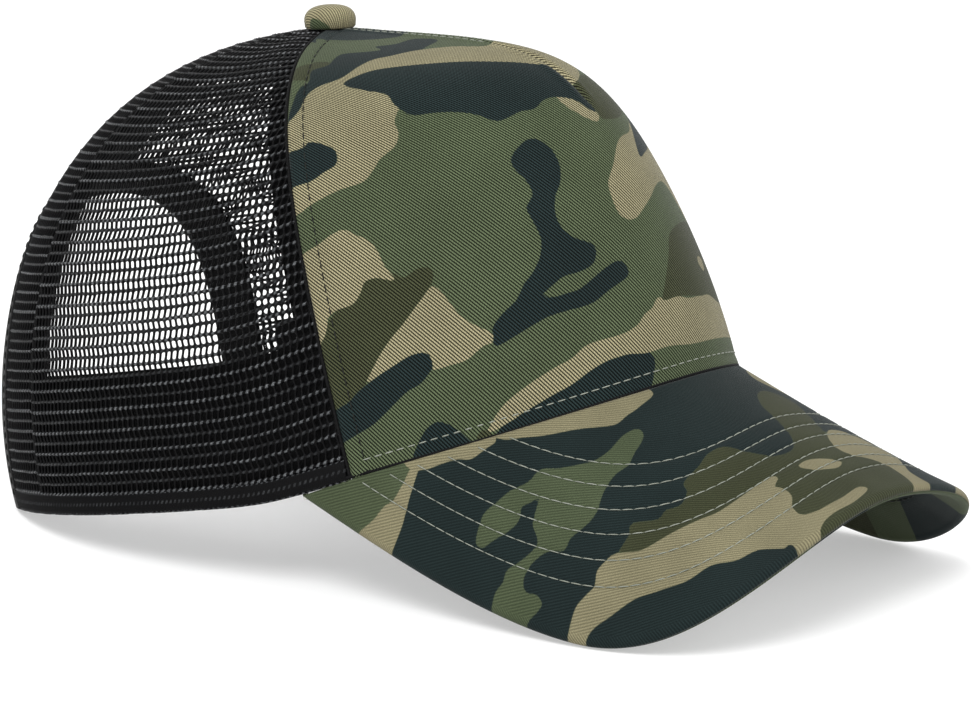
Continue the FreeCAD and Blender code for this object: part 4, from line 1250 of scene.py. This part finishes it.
front_cloth()
front_stitching()
net_panels()
brim_cloth("brim_top_cloth", "brim_top_cover", BRIM_CLOTH, BRIM_PRINT, "navy", False)
brim_cloth("brim_under_cloth", "brim_under_cover", UNDER_CLOTH, UNDER_PRINT, "green", True)
brim_rows()
backing()
tapes()
sweatband()
arch_binding()
crown_seams()
net_hems()
button()

for material, nodes in (
    (BOARD, ("brim_board",)),
    (STEEL, ("button_core", "button_rivet", "button_washer")),
    (BLACK_PLASTIC, ("hole_strap", "hole_strap_tab", "peg_strap", "peg_strap_tab")),
):
    for node in nodes:
        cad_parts[node].data.materials.clear()
        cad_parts[node].data.materials.append(material)

# ---- studio ----

bpy.ops.mesh.primitive_plane_add(size=12.0, location=(0.0, 0.0, 0.0))
floor = bpy.context.object
floor.name = "studio_floor"
paper, tree, shader = new_material("studio_paper")
coat(shader, Base_Color=(0.6, 0.6, 0.6, 1.0), Roughness=1.0, Specular_IOR_Level=0.0,
     Emission_Color=(1.0, 1.0, 1.0, 1.0), Emission_Strength=0.42)
floor.data.materials.append(paper)


def area_light(name, place, aim, size, power):
    light = bpy.data.lights.new(name, "AREA")
    light.size, light.energy = size, power
    lamp = bpy.data.objects.new(name, light)
    bpy.context.scene.collection.objects.link(lamp)
    lamp.location = place
    lamp.rotation_euler = (Vector(aim) - Vector(place)).to_track_quat("-Z", "Y").to_euler()


area_light("key", (-1.1, -0.5, 1.5), (0.0, 0.0, 0.05), 0.9, 26.0)
area_light("fill", (0.4, -1.8, 1.0), (0.0, 0.0, 0.05), 1.2, 10.0)
area_light("back", (0.3, 1.5, 1.4), (0.0, 0.0, 0.08), 1.0, 8.0)

world = bpy.data.worlds.new("studio_world")
world.use_nodes = True
world.node_tree.nodes["Background"].inputs["Color"].default_value = (1.0, 1.0, 1.0, 1.0)
world.node_tree.nodes["Background"].inputs["Strength"].default_value = 0.9
bpy.context.scene.world = world
bpy.context.scene.view_settings.view_transform = "Standard"

# ---- camera ----

CAMERA_TURN, CAMERA_RISE, CAMERA_AWAY = math.radians(-50.2), math.radians(10.9), 0.909
AIM = Vector((0.0, 0.0303, 0.0465))
CENTRE_SIDEWAYS, CENTRE_UPWARDS = 0.0334, -0.0020
LENS_LENGTH, SENSOR_WIDTH = 128.9, 36.0
ahead = Vector((
    -math.sin(CAMERA_TURN) * math.cos(CAMERA_RISE),
    math.cos(CAMERA_TURN) * math.cos(CAMERA_RISE),
    -math.sin(CAMERA_RISE),
))
sideways = Vector((math.cos(CAMERA_TURN), math.sin(CAMERA_TURN), 0.0))
upwards = sideways.cross(ahead)
lens = bpy.data.cameras.new("photo_camera")
lens.lens, lens.sensor_width = LENS_LENGTH, SENSOR_WIDTH
camera = bpy.data.objects.new("photo_camera", lens)
bpy.context.scene.collection.objects.link(camera)
camera.location = AIM - ahead * CAMERA_AWAY
centre = AIM + sideways * CENTRE_SIDEWAYS + upwards * CENTRE_UPWARDS
camera.rotation_euler = (centre - camera.location).to_track_quat("-Z", "Y").to_euler()
bpy.context.scene.camera = camera
